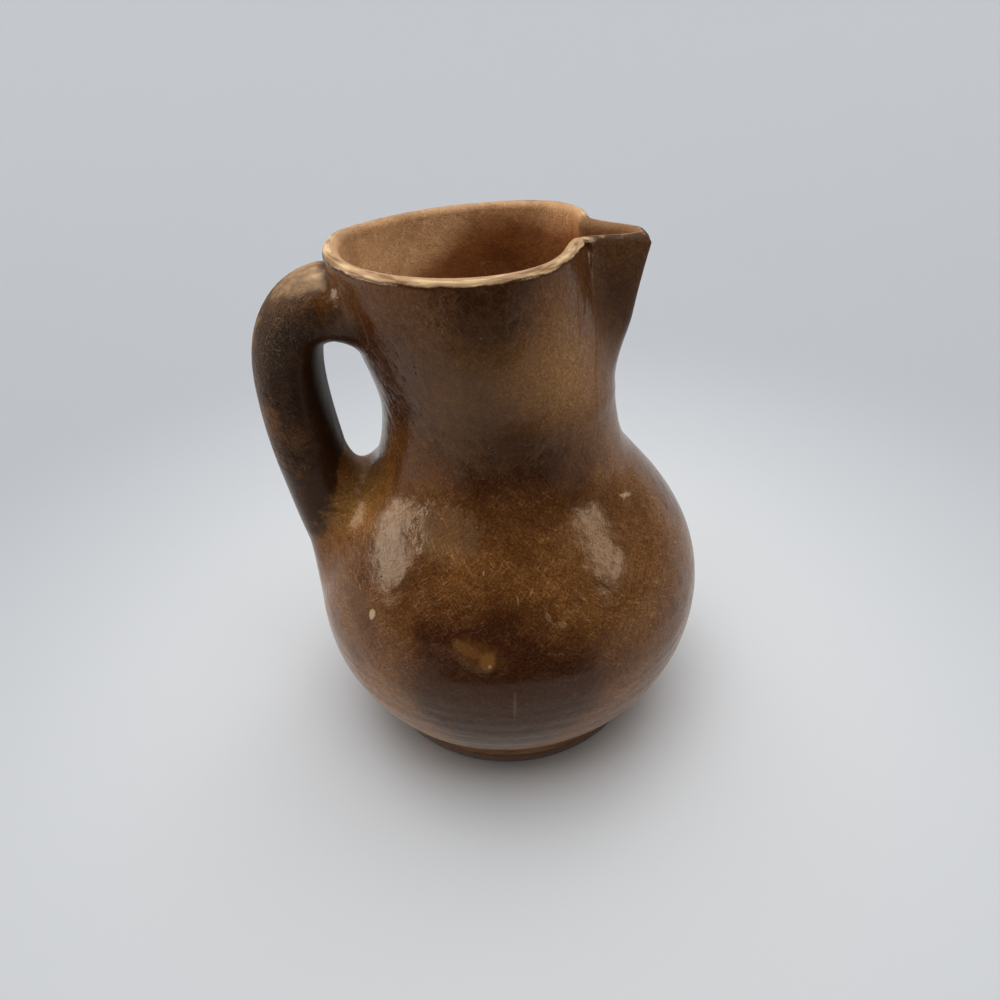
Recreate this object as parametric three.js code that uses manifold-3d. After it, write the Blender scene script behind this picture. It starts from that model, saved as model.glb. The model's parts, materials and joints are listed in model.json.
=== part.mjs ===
// Glazed pottery pitcher, in the pieces that a potter joins: a foot disc, a thrown belly,
// a neck collar luted on at the crease, a folded beak let into the collar, and a pulled strap
// handle with a lute of clay at each end. Millimetres, +Z up. The origin is the centre of the
// foot's underside, the beak points along +X and the handle lies on the -X side.

import * as THREE from 'three';
import { mergeVertices } from 'three/addons/utils/BufferGeometryUtils.js';
import Module from 'manifold-3d';

const wasm = await Module();
wasm.setup();

// Joints between the clay pieces
const SLIP_GAP = 0.3;               // slip between two pieces that meet
const LUTE_THICKNESS = 1.2;         // softer clay worked in beside the beak

// Foot disc
const FOOT_RADIUS = 45.4;
const FOOT_EDGE_HEIGHT = 3.2;       // the edge that shows below the belly
const FOOT_EDGE_ROUND = 1.2;
const FLOOR_HEIGHT = 6.5;           // top of the disc inside the belly

// Belly
const BELLY_RADIUS = 60.1;
const BELLY_HEIGHT = 43.6;          // level of the widest part
const BELLY_WALL = 4.6;
const HEEL_INSET = 0.3;             // the belly starts this far inside the foot's edge
const HEEL_SLOPE = 76;              // degrees above the horizontal
const HEEL_PULL = 9.6;              // how long the wall keeps the heel's slope
const LOWER_FULLNESS = 23.4;        // how long the wall stays upright below the widest part
const UPPER_FULLNESS = 20;          // and above it
const CREASE_HEIGHT = 89.5;         // the belly's mouth, where the neck is luted on
const CREASE_RADIUS = 35.5;
const SHOULDER_SLOPE = 55;          // degrees above the horizontal
const SHOULDER_PULL = 15.3;         // how long the wall keeps the shoulder's slope

// Neck collar
const NECK_LUTE_HEIGHT = 2.4;
const NECK_LUTE_BEAD = 0.5;         // the lute stands this far proud of the crease
const NECK_LENGTH = 58.5;           // from the crease to the top of the rim
const NECK_WALL = 4.1;
const NECK_FOOT_INSET = 0.8;        // the collar starts this far inside the crease
const NECK_FOOT_SLOPE = 76;         // degrees above the horizontal, leaning inwards
const NECK_FOOT_PULL = 23.5;
const RIM_RADIUS = 38.4;
const RIM_SLOPE = 84.5;             // degrees above the horizontal, leaning outwards
const RIM_PULL = 33;

// Folds pressed into the collar on both sides of the beak, and the swell that the handle draws out
const FOLD_LENGTH = 38;             // from the rim down to where they die out
const NEAR_FOLD = { depth: 14.4, angle: -25, spread: 33 };
const FAR_FOLD = { depth: 9.5, angle: 20, spread: 15 };
const HANDLE_SWELL = { depth: -1.4, angle: 180, spread: 38 };

// Beak
const BEAK_LENGTH = 40;             // from the rim down to the beak's foot
const BEAK_FOOT_HALF_WIDTH = 21.5;
const BEAK_FOOT_PROUD = 0.6;        // the foot stands this far out of the collar's face
const BEAK_TIP_REACH = 39.8;        // from the pitcher's axis to the tip
const BEAK_TIP_HALF_WIDTH = 4.2;
const BEAK_TIP_DROP = 0.8;          // the tip lies lower than the rim
const BEAK_SWEEP = 1.4;             // power of the keel's curve from the foot to the tip
const BEAK_TIP_WALL = 5;
const BEAK_WALL = 4.2;
const BEAK_ROOT_REACH = 20;         // where the flanks leave the collar, at the lip
const BEAK_NEAR_HALF_WIDTH = 9.7;
const BEAK_FAR_HALF_WIDTH = 13;
const CHANNEL_END_HALF_WIDTH = 1.4;

// Handle
const HANDLE_SKEW = 5;              // degrees off the line through the beak
const HANDLE_WIDTH = 26;
const HANDLE_TOP_THICKNESS = 17;
const HANDLE_TAIL_THICKNESS = 20;
const HANDLE_TOP_DROP = 15;         // from the rim to the middle of the upper end
const HANDLE_TOP_BURY = 7.8;        // the strap's line runs this far into the neck
const HANDLE_CROWN_RISE = 9.6;      // the strap's line is pulled this far above its upper end
const HANDLE_CROWN_REACH = 26.5;    // and this far out from the neck
const HANDLE_BACK_DROP = 19;        // then down its back
const HANDLE_BACK_REACH = 20;
const HANDLE_TAIL_DROP = 42;        // from the crease to the end of the strap's line
const HANDLE_TAIL_BURY = 11.5;
const HANDLE_ROUNDNESS = 2.6;       // power of the strap's rounded section
const UPPER_LUTE_LENGTH = 14;       // along the strap's line, with what is buried
const UPPER_LUTE_FLARE = 0.4;       // share by which the section grows towards the neck
const LOWER_LUTE_LENGTH = 47;
const LOWER_LUTE_TAPER = 0.25;      // share by which the width shrinks towards the tail

// Facets
const LATHE_SEGMENTS = 48;
const COLLAR_SEGMENTS = 64;
const CURVE_STEPS = 8;
const SECTION_POINTS = 20;
const BEAK_LEVELS = 6;

// Levels and radii that follow from the driving dimensions
const rimHeight = CREASE_HEIGHT + NECK_LENGTH;
const bellyFoot = FOOT_EDGE_HEIGHT + SLIP_GAP;
const neckLuteFoot = CREASE_HEIGHT + SLIP_GAP;
const collarFoot = neckLuteFoot + NECK_LUTE_HEIGHT + SLIP_GAP;
const collarFootRadius = CREASE_RADIUS - NECK_FOOT_INSET;
const rimRound = NECK_WALL / 2;
const beakFoot = rimHeight - BEAK_LENGTH;
const headroom = 2 * NECK_WALL;     // cutting forms reach this far above the rim

const glaze = new THREE.MeshStandardMaterial({ color: 0x6d4321, roughness: 0.25, metalness: 0 });
const darkGlaze = new THREE.MeshStandardMaterial({ color: 0x3c2415, roughness: 0.3, metalness: 0 });
const wornGlaze = new THREE.MeshStandardMaterial({ color: 0x8a6238, roughness: 0.45, metalness: 0 });
const bareClay = new THREE.MeshStandardMaterial({ color: 0x9c7148, roughness: 0.8, metalness: 0 });

function point(radius, height) {
  return new THREE.Vector2(radius, height);
}

// A step of a given length up a slope, leaning outwards with sign +1 or inwards with sign -1
function slopeStep(length, degrees, sign) {
  const angle = THREE.MathUtils.degToRad(degrees);
  return point(sign * length * Math.cos(angle), length * Math.sin(angle));
}

// Outer wall of the belly from the heel to the crease
function bellyCurves() {
  const heel = point(FOOT_RADIUS - HEEL_INSET, bellyFoot);
  const widest = point(BELLY_RADIUS, BELLY_HEIGHT);
  const crease = point(CREASE_RADIUS, CREASE_HEIGHT);
  const lower = new THREE.CubicBezierCurve(
    heel,
    heel.clone().add(slopeStep(HEEL_PULL, HEEL_SLOPE, 1)),
    point(BELLY_RADIUS, BELLY_HEIGHT - LOWER_FULLNESS),
    widest,
  );
  const upper = new THREE.CubicBezierCurve(
    widest,
    point(BELLY_RADIUS, BELLY_HEIGHT + UPPER_FULLNESS),
    crease.clone().sub(slopeStep(SHOULDER_PULL, SHOULDER_SLOPE, -1)),
    crease,
  );
  return [lower, upper];
}

// Outer wall of the neck from the collar's foot to the start of the rounded rim
function neckCurve() {
  const foot = point(collarFootRadius, collarFoot);
  const rim = point(RIM_RADIUS, rimHeight - rimRound);
  return new THREE.CubicBezierCurve(
    foot,
    foot.clone().add(slopeStep(NECK_FOOT_PULL, NECK_FOOT_SLOPE, -1)),
    rim.clone().sub(slopeStep(RIM_PULL, RIM_SLOPE, 1)),
    rim,
  );
}

// Points along curves that join end to end, moved outwards by a distance along their normals
function wallPoints(curves, distance) {
  const points = [];
  curves.forEach((curve, index) => {
    for (let step = index === 0 ? 0 : 1; step <= CURVE_STEPS; step += 1) {
      const along = step / CURVE_STEPS;
      const tangent = curve.getTangent(along);
      const normal = point(tangent.y, -tangent.x);
      points.push(curve.getPoint(along).addScaledVector(normal, distance));
    }
  });
  return points;
}

// Radius of a wall at a height, between its points
function radiusAt(points, height) {
  const above = points.findIndex((p) => p.y >= height);
  const index = above < 0 ? points.length - 1 : Math.max(above, 1);
  const low = points[index - 1];
  const high = points[index];
  const share = THREE.MathUtils.clamp((height - low.y) / (high.y - low.y), 0, 1);
  return THREE.MathUtils.lerp(low.x, high.x, share);
}

function arcPoints(centre, radius, fromDegrees, toDegrees, steps) {
  return Array.from({ length: steps + 1 }, (_, step) => {
    const angle = THREE.MathUtils.degToRad(THREE.MathUtils.lerp(fromDegrees, toDegrees, step / steps));
    return point(centre.x + radius * Math.cos(angle), centre.y + radius * Math.sin(angle));
  });
}

// A turned body: the outline runs up the outside and back to its start, or from axis to axis
function turned(outline, segments) {
  return new THREE.LatheGeometry(outline, segments).rotateX(Math.PI / 2);
}

function closed(outline) {
  return [...outline, outline[0].clone()];
}

// A body between rings of points, with flat ends
function lofted(rings) {
  const count = rings[0].length;
  const positions = rings.flat().flatMap((p) => [p.x, p.y, p.z]);
  const index = [];
  for (let ring = 0; ring + 1 < rings.length; ring += 1) {
    for (let i = 0; i < count; i += 1) {
      const next = (i + 1) % count;
      const a = ring * count + i;
      const b = ring * count + next;
      const c = a + count;
      const d = b + count;
      index.push(a, b, d, a, d, c);
    }
  }
  const last = (rings.length - 1) * count;
  for (let i = 1; i + 1 < count; i += 1) {
    index.push(0, i + 1, i);
    index.push(last, last + i, last + i + 1);
  }
  const geometry = new THREE.BufferGeometry();
  geometry.setAttribute('position', new THREE.Float32BufferAttribute(positions, 3));
  geometry.setIndex(index);
  return geometry;
}

// Closed solid of a geometry, for joining and cutting
function solid(geometry) {
  const bare = geometry.clone();
  bare.deleteAttribute('normal');
  bare.deleteAttribute('uv');
  const merged = mergeVertices(bare, 1e-4);
  const triangles = [];
  for (let i = 0; i < merged.index.count; i += 3) {
    const corners = [merged.index.getX(i), merged.index.getX(i + 1), merged.index.getX(i + 2)];
    if (new Set(corners).size === 3) {
      triangles.push(...corners);
    }
  }
  return new wasm.Manifold(new wasm.Mesh({
    numProp: 3,
    vertProperties: new Float32Array(merged.attributes.position.array),
    triVerts: new Uint32Array(triangles),
  }));
}

function piece(name, body, material) {
  const { vertProperties, triVerts } = body.getMesh();
  const geometry = new THREE.BufferGeometry();
  geometry.setAttribute('position', new THREE.BufferAttribute(vertProperties, 3));
  geometry.setIndex(new THREE.BufferAttribute(triVerts, 1));
  geometry.computeVertexNormals();
  const mesh = new THREE.Mesh(geometry, material);
  mesh.name = name;
  return mesh;
}

// Presses the folds and the swell into a turned neck or its hollow
function folded(geometry) {
  const position = geometry.attributes.position;
  const pressed = (degrees, { depth, angle, spread }) => {
    const turn = THREE.MathUtils.euclideanModulo(degrees - angle + 180, 360) - 180;
    return depth * Math.exp(-0.5 * (turn / spread) ** 2);
  };
  for (let i = 0; i < position.count; i += 1) {
    const x = position.getX(i);
    const y = position.getY(i);
    const radius = Math.hypot(x, y);
    const rise = (position.getZ(i) - (rimHeight - FOLD_LENGTH)) / FOLD_LENGTH;
    if (radius > NECK_WALL && rise > 0) {
      const degrees = THREE.MathUtils.radToDeg(Math.atan2(y, x));
      const depth = [NEAR_FOLD, FAR_FOLD, HANDLE_SWELL].reduce(
        (sum, fold) => sum + pressed(degrees, fold), 0);
      const shrink = 1 - (Math.min(rise, 1) * depth) / radius;
      position.setXY(i, x * shrink, y * shrink);
    }
  }
  return geometry;
}

// The disc that the pot stands on, with a raised floor that the belly's wall fits around
function footDisc() {
  const wallInside = wallPoints(bellyCurves(), -BELLY_WALL)[0].x;
  const floorRadius = wallInside - SLIP_GAP;
  const roundCentre = point(FOOT_RADIUS - FOOT_EDGE_ROUND, FOOT_EDGE_ROUND);
  return solid(turned([
    point(0, 0),
    ...arcPoints(roundCentre, FOOT_EDGE_ROUND, -90, 0, 3),
    point(FOOT_RADIUS, FOOT_EDGE_HEIGHT),
    point(floorRadius, FOOT_EDGE_HEIGHT),
    point(floorRadius, FLOOR_HEIGHT),
    point(0, FLOOR_HEIGHT),
  ], LATHE_SEGMENTS));
}

function belly() {
  const outside = wallPoints(bellyCurves(), 0);
  const inside = wallPoints(bellyCurves(), -BELLY_WALL).reverse();
  const mouthInside = point(inside[0].x, CREASE_HEIGHT);
  const heelInside = point(inside[inside.length - 1].x, bellyFoot);
  return solid(turned(closed([...outside, mouthInside, ...inside, heelInside]), LATHE_SEGMENTS));
}

// Ring of clay worked in between the belly's mouth and the collar
function neckLute() {
  const inside = CREASE_RADIUS - BELLY_WALL;
  const top = neckLuteFoot + NECK_LUTE_HEIGHT;
  return solid(turned(closed([
    point(inside, neckLuteFoot),
    point(CREASE_RADIUS, neckLuteFoot),
    point(collarFootRadius + NECK_LUTE_BEAD, (neckLuteFoot + top) / 2),
    point(collarFootRadius, top),
    point(inside, top),
  ]), LATHE_SEGMENTS));
}

// The collar before the beak is let in
function wholeCollar() {
  const outside = wallPoints([neckCurve()], 0);
  const inside = wallPoints([neckCurve()], -NECK_WALL).reverse().slice(1);
  const roundCentre = point(RIM_RADIUS - rimRound, rimHeight - rimRound);
  const rim = arcPoints(roundCentre, rimRound, 0, 180, 6).slice(1);
  const footInside = point(inside[inside.length - 1].x, collarFoot);
  return solid(folded(turned(closed([...outside, ...rim, ...inside, footInside]), COLLAR_SEGMENTS)));
}

// The hollow inside the collar, carried on above the rim
function collarHollow() {
  const inside = wallPoints([neckCurve()], -NECK_WALL);
  const top = rimHeight + headroom;
  const mouth = RIM_RADIUS - NECK_WALL;
  return solid(folded(turned([
    point(0, collarFoot),
    point(inside[0].x, collarFoot),
    ...inside.slice(0, -1),
    point(mouth, rimHeight),
    point(mouth, top),
    point(0, top),
  ], COLLAR_SEGMENTS)));
}

// Half of a level section of the beak, from the tip's middle to the root, on the side with the
// given half width at the lip
function beakHalf(rise, lipHalfWidth) {
  const faceRadius = radiusAt(wallPoints([neckCurve()], 0), beakFoot) + BEAK_FOOT_PROUD;
  const onFace = (halfWidth) => point(Math.sqrt(faceRadius ** 2 - halfWidth ** 2), halfWidth);
  const tip = point(BEAK_TIP_REACH, BEAK_TIP_HALF_WIDTH);
  const root = point(BEAK_ROOT_REACH, lipHalfWidth);
  const lip = [point(tip.x, 0), tip, tip.clone().lerp(root, 0.5), root];
  return lip.map((end, i) => {
    const start = onFace((BEAK_FOOT_HALF_WIDTH * i) / (lip.length - 1));
    return start.lerp(end, rise ** BEAK_SWEEP);
  });
}

// Level section of the beak's outside, moved outwards by a clearance and closed inside the neck
function beakSection(rise, clearance) {
  const near = beakHalf(rise, BEAK_NEAR_HALF_WIDTH).map((p) => point(p.x, -p.y)).reverse();
  const far = beakHalf(rise, BEAK_FAR_HALF_WIDTH).slice(1);
  const line = [point(0, near[0].y), ...near, ...far, point(0, far[far.length - 1].y)];
  return line.map((p, i) => {
    const from = line[Math.max(i - 1, 0)];
    const to = line[Math.min(i + 1, line.length - 1)];
    const along = to.clone().sub(from).normalize();
    return point(p.x + clearance * along.y, p.y - clearance * along.x);
  });
}

// Level section of the channel that the beak pours through
function channelSection(rise) {
  const beak = beakHalf(rise, BEAK_NEAR_HALF_WIDTH);
  const end = beak[0].x - THREE.MathUtils.lerp(NECK_WALL, BEAK_TIP_WALL, rise);
  const root = beak[beak.length - 1];
  const endHalfWidth = THREE.MathUtils.lerp(BEAK_FOOT_HALF_WIDTH / 2, CHANNEL_END_HALF_WIDTH, rise);
  const near = root.y - BEAK_WALL;
  const far = beakHalf(rise, BEAK_FAR_HALF_WIDTH).pop().y - BEAK_WALL;
  const rootReach = Math.min(root.x, end);
  return [
    point(0, -near), point(rootReach, -near), point(end, -endHalfWidth),
    point(end, endHalfWidth), point(rootReach, far), point(0, far),
  ];
}

// Body through level sections from the beak's foot to its sloping lip, or on above the rim
function throughLevels(section, footDrop, reachesAbove) {
  const slope = BEAK_TIP_DROP / (BEAK_TIP_REACH - BEAK_ROOT_REACH);
  const rings = [];
  for (let level = 0; level <= BEAK_LEVELS; level += 1) {
    const rise = level / BEAK_LEVELS;
    const height = beakFoot - footDrop * (1 - rise) + BEAK_LENGTH * rise;
    rings.push(section(rise).map((p) => {
      const dip = rise * slope * (p.x - BEAK_ROOT_REACH);
      return new THREE.Vector3(p.x, p.y, height - dip);
    }));
  }
  if (reachesAbove) {
    rings.push(section(1).map((p) => new THREE.Vector3(p.x, p.y, rimHeight + headroom)));
  }
  return solid(lofted(rings));
}

function beakOutside(clearance) {
  return throughLevels((rise) => beakSection(rise, clearance), clearance, clearance > 0);
}

function beak() {
  const channel = throughLevels(channelSection, 0, true);
  return beakOutside(0).subtract(collarHollow()).subtract(channel);
}

function neckCollar() {
  return wholeCollar().subtract(beakOutside(2 * SLIP_GAP + LUTE_THICKNESS));
}

// Softer clay worked into the joint around the beak
function beakLute() {
  const aroundBeak = beakOutside(SLIP_GAP + LUTE_THICKNESS).subtract(beakOutside(SLIP_GAP));
  return wholeCollar().intersect(aroundBeak);
}

// The strap's line in the handle's plane, as radius and height, from the neck down to the belly
function handleLine() {
  const upperHeight = rimHeight - HANDLE_TOP_DROP;
  const lowerHeight = CREASE_HEIGHT - HANDLE_TAIL_DROP;
  const neckFace = radiusAt(wallPoints([neckCurve()], 0), upperHeight);
  const bellyFace = radiusAt(wallPoints(bellyCurves(), 0), lowerHeight);
  return new THREE.CubicBezierCurve(
    point(neckFace - HANDLE_TOP_BURY, upperHeight),
    point(neckFace + HANDLE_CROWN_REACH, upperHeight + HANDLE_CROWN_RISE),
    point(neckFace + HANDLE_BACK_REACH, upperHeight - HANDLE_BACK_DROP),
    point(bellyFace - HANDLE_TAIL_BURY, lowerHeight),
  );
}

// Rounded section of the strap, square to its line
function strapSection(line, along, thicker, wider) {
  const centre = line.getPointAt(along);
  const tangent = line.getTangentAt(along);
  const thickness = THREE.MathUtils.lerp(HANDLE_TOP_THICKNESS, HANDLE_TAIL_THICKNESS, along);
  const rounded = (value) => Math.sign(value) * Math.abs(value) ** (2 / HANDLE_ROUNDNESS);
  return Array.from({ length: SECTION_POINTS }, (_, i) => {
    const angle = (2 * Math.PI * i) / SECTION_POINTS;
    const out = thicker * (thickness / 2) * rounded(Math.cos(angle));
    const across = wider * (HANDLE_WIDTH / 2) * rounded(Math.sin(angle));
    const radius = centre.x + out * tangent.y;
    return new THREE.Vector3(-radius, -across, centre.y - out * tangent.x);
  });
}

// A stretch of the handle between two lengths along its line, its section scaled along the way
function handleStretch(from, to, steps, thickerAt, widerAt) {
  const line = handleLine();
  const length = line.getLength();
  const rings = Array.from({ length: steps + 1 }, (_, step) => {
    const at = THREE.MathUtils.lerp(from, to, step / steps);
    return strapSection(line, at / length, thickerAt(at), widerAt(at));
  });
  const skew = THREE.MathUtils.degToRad(HANDLE_SKEW);
  return solid(lofted(rings).rotateZ(skew));
}

// The pitcher's outside as one filled form, grown by a clearance
function filledForm(clearance) {
  const wall = wallPoints([...bellyCurves(), neckCurve()], clearance);
  return solid(folded(turned([
    point(0, 0),
    point(wall[0].x, 0),
    ...wall,
    point(0, rimHeight),
  ], COLLAR_SEGMENTS)));
}

function handleStrap() {
  const length = handleLine().getLength();
  const from = UPPER_LUTE_LENGTH + SLIP_GAP;
  const to = length - LOWER_LUTE_LENGTH - SLIP_GAP;
  const plain = () => 1;
  return handleStretch(from, to, 2 * CURVE_STEPS, plain, plain).subtract(filledForm(SLIP_GAP));
}

function handleUpperLute() {
  const flareAt = (at) => 1 + UPPER_LUTE_FLARE * (1 - at / UPPER_LUTE_LENGTH) ** 2;
  return handleStretch(0, UPPER_LUTE_LENGTH, CURVE_STEPS, flareAt, flareAt)
    .subtract(filledForm(SLIP_GAP));
}

function handleLowerLute() {
  const length = handleLine().getLength();
  const start = length - LOWER_LUTE_LENGTH;
  const plain = () => 1;
  const taperAt = (at) => 1 - LOWER_LUTE_TAPER * ((at - start) / LOWER_LUTE_LENGTH) ** 2;
  return handleStretch(start, length, CURVE_STEPS, plain, taperAt)
    .subtract(filledForm(SLIP_GAP));
}

const pitcher = new THREE.Group();
pitcher.name = 'pitcher';
pitcher.add(
  piece('foot_disc', footDisc(), bareClay),
  piece('belly', belly(), glaze),
  piece('neck_lute', neckLute(), glaze),
  piece('neck_collar', neckCollar(), wornGlaze),
  piece('beak', beak(), glaze),
  piece('beak_lute', beakLute(), wornGlaze),
  piece('handle_strap', handleStrap(), darkGlaze),
  piece('handle_upper_lute', handleUpperLute(), glaze),
  piece('handle_lower_lute', handleLowerLute(), darkGlaze),
);

export default pitcher;
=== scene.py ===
"""Pottery pitcher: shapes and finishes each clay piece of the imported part, in a plain studio."""

import bisect
import json
import math

import bmesh
import bpy
from mathutils import Matrix, Vector, noise

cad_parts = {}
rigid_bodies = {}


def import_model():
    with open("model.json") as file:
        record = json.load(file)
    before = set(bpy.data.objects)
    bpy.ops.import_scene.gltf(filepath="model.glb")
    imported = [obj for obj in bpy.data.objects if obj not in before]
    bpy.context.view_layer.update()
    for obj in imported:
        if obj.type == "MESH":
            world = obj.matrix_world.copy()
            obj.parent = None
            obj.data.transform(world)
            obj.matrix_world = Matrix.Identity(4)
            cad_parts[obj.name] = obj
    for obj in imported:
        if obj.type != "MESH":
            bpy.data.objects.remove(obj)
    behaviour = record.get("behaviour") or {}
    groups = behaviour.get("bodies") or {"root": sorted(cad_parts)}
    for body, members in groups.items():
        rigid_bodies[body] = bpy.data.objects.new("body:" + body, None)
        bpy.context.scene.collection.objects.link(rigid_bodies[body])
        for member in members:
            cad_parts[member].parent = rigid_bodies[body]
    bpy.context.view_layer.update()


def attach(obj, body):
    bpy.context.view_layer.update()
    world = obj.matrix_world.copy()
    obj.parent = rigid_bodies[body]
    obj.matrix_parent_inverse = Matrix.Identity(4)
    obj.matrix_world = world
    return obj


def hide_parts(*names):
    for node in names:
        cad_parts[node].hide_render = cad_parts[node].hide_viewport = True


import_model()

bl_info = {
    "name": "Pottery pitcher",
    "version": (1, 0, 0),
    "blender": (4, 5, 0),
    "location": "View3D > Sidebar > Pitcher",
    "description": "Models a small glazed pitcher piece by piece and sets a plain studio round it",
    "category": "Add Mesh",
}

BODY = "root"

# Dullness of the glaze on the belly, and of the neck's smoother glaze
BELLY_DULL = 0.38
NECK_DULL = 0.3

# Sharpest bend that is still shaded as one smooth surface
SMOOTH_ANGLE = math.radians(50)

# Warm tint of the window lights and of what the glaze reflects
WARM = (1.0, 0.87, 0.72)

# Slack for heights that are meant to be the same, in metres
LEVEL_SLACK = 1e-7


# Settings


def length(name, description, default):
    """A size in metres."""
    return bpy.props.FloatProperty(
        name=name, description=description, default=default, unit="LENGTH", precision=5)


def turn(name, description, degrees):
    """An angle, given here in degrees."""
    return bpy.props.FloatProperty(
        name=name, description=description, default=math.radians(degrees), subtype="ANGLE")


def amount(name, description, default):
    """A plain number."""
    return bpy.props.FloatProperty(name=name, description=description, default=default, precision=3)


def colour(name, description, default):
    """A colour, as linear red, green and blue."""
    return bpy.props.FloatVectorProperty(
        name=name, description=description, default=default, subtype="COLOR", size=3, min=0, max=1)


class PitcherSizes(bpy.types.PropertyGroup):
    """Sizes of the pitcher's clay pieces."""

    foot_radius: length("Foot radius", "Radius of the flat base", 0.0454)
    foot_height: length("Foot height", "Height of the base's low edge", 0.0032)
    foot_round: length("Foot rounding", "Rounding of the base's edge", 0.0012)
    floor_height: length("Floor height", "Height of the floor inside the belly", 0.0065)
    belly_radius: length("Belly radius", "Radius of the belly at its widest", 0.0601)
    belly_height: length("Belly height", "Height of the belly's widest part", 0.0436)
    belly_wall: length("Belly wall", "Thickness of the belly's wall", 0.0046)
    crease_radius: length("Crease radius", "Radius where the shoulder meets the neck", 0.0355)
    crease_height: length("Crease height", "Height where the shoulder meets the neck", 0.0895)
    crease_below: length("Crease below", "How far the soft crease reaches down the shoulder", 0.0045)
    crease_above: length("Crease above", "How far the soft crease reaches up the neck", 0.0085)
    ring_depth: length("Throwing rings", "Depth of the rings that the potter's fingers left", 0.00005)
    rim_height: length("Rim height", "Height of the rim", 0.148)
    rim_radius: length("Rim radius", "Radius of the rim's outside", 0.0384)
    neck_wall: length("Neck wall", "Thickness of the neck's wall", 0.0041)
    near_fold: length("Near fold", "Depth of the fold on the beak's near side", 0.0144)
    far_fold: length("Far fold", "Depth of the fold on the beak's far side", 0.0095)
    handle_swell: length("Handle swell", "How far the handle draws the rim out", 0.0026)
    beak_foot: length("Beak foot", "Height where the beak starts", 0.108)
    beak_back: length("Beak set back", "How far the lip's tip stays behind the neck's line", -0.0006)
    beak_hollow: length("Keel hollow", "How far the beak's keel curves in between foot and lip", 0.0015)
    beak_tip: length("Beak tip", "Half the width of the beak's tip", 0.0050)
    beak_aside: length("Beak aside", "How far the tip points to the near side", 0.0022)
    beak_near: length("Beak near side", "Half width of the beak's root on the near side", 0.0101)
    beak_far: length("Beak far side", "Half width of the beak's root on the far side", 0.0155)
    beak_root: length("Beak root", "How far out the beak's root lies", 0.020)
    beak_drop: length("Beak drop", "How far the lip falls towards the tip", 0.0008)
    beak_wall: length("Beak wall", "Thickness of the beak's sides", 0.0039)
    beak_tip_wall: length("Beak tip wall", "Thickness of the clay at the beak's tip", 0.0036)
    valley_round: length("Valley rounding", "Softness of the valleys beside the beak", 0.0040)
    handle_skew: turn("Handle skew", "How far the handle stands off the beak's line", 5)
    handle_width: length("Handle width", "Width of the strap", 0.026)
    handle_top: length("Handle top thickness", "Thickness of the strap at the neck", 0.0165)
    handle_tail: length("Handle tail thickness", "Thickness of the strap at the belly", 0.0195)
    handle_drop: length("Handle drop", "How far under the rim the strap leaves the neck", 0.015)
    handle_tail_drop: length("Handle tail drop", "How far under the crease the strap's line ends", 0.042)
    upper_lute: length("Upper lute", "Length of the strap's joint with the neck", 0.014)
    lower_lute: length("Lower lute", "Length of the strap's joint with the belly", 0.047)
    hand_wobble: length("Hand wobble", "Unevenness that the potter's hands left", 0.00028)


class PitcherColours(bpy.types.PropertyGroup):
    """Colours of the glaze and the clay."""

    umber: colour("Umber glaze", "Glaze where it lies thick", (0.046, 0.0135, 0.0034))
    brown: colour("Brown glaze", "Glaze in its usual thickness", (0.110, 0.041, 0.0094))
    honey: colour("Honey glaze", "Glaze where it lies thinner", (0.180, 0.074, 0.0182))
    ochre: colour("Ochre glaze", "Glaze where the clay shows through", (0.28, 0.130, 0.035))
    smoke: colour("Smoked glaze", "Dark glaze of the handle", (0.024, 0.0085, 0.0036))
    grit: colour("Grit", "Dark sandy crust on the handle's shoulder", (0.070, 0.043, 0.028))
    worn: colour("Worn clay", "Bare clay of the worn rim", (0.52, 0.335, 0.19))
    # Yellower bare clay, which also paints glints along the rim's streaks
    gilt: colour("Yellow clay", "Yellower bare clay of the worn rim", (0.80, 0.59, 0.32))
    # Paler clay high inside the neck
    inner: colour("Inside clay", "Dusty clay inside the neck", (0.62, 0.36, 0.18))
    deep: colour("Deep inside", "Clay far down inside", (0.26, 0.092, 0.024))
    # Kept dark as painted shade along the foot, partly the clay's own tone
    foot: colour("Foot clay", "Bare clay under the foot", (0.085, 0.056, 0.043))
    # Also the colour of the painted sheen, painted highlight and painted grey reflection in the scar lists
    dust: colour("Dust", "Pale specks and scars on the glaze", (0.52, 0.38, 0.22))


class PitcherStage(bpy.types.PropertyGroup):
    """Floor, light and camera."""

    floor: colour("Floor", "Colour of the floor", (0.925, 0.945, 0.965))
    back: colour("Outer floor", "Colour of the floor further out", (0.595, 0.622, 0.66))
    far: colour("Backdrop", "Colour of the backdrop far behind", (0.775, 0.805, 0.845))
    sky: amount("Sky strength", "Brightness of the light from all round", 0.21)
    shade: amount("Camera side", "Share of that light that comes from the camera's side", 0.35)
    top_power: amount("Top light", "Power of the light overhead, in watts", 16.0)
    left_power: amount("Left window", "Power of the soft light on the left, in watts", 4.5)
    right_power: amount("Right window", "Power of the soft light on the right, in watts", 1.8)
    lens: bpy.props.FloatProperty(
        name="Lens", description="Focal length on a 36 mm sensor", default=24.41, unit="CAMERA")
    camera_y: length("Camera distance", "How far the camera stands in front of the axis", 0.1729)
    camera_z: length("Camera height", "How high the camera stands", 0.1895)
    pitch: turn("Camera pitch", "How far the camera looks down", 34.95)
    roll: turn("Camera roll", "How far the camera leans", -3.577)
    yaw: turn("Camera yaw", "How far the camera looks aside", -0.424)


# Curves


def cubic(points, steps):
    """Points along a cubic curve with two ends and two pulls."""
    a, b, c, d = [Vector(p) for p in points]
    line = []
    for step in range(steps + 1):
        t = step / steps
        u = 1 - t
        line.append(a * u ** 3 + b * (3 * u * u * t) + c * (3 * u * t * t) + d * t ** 3)
    return line


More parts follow.
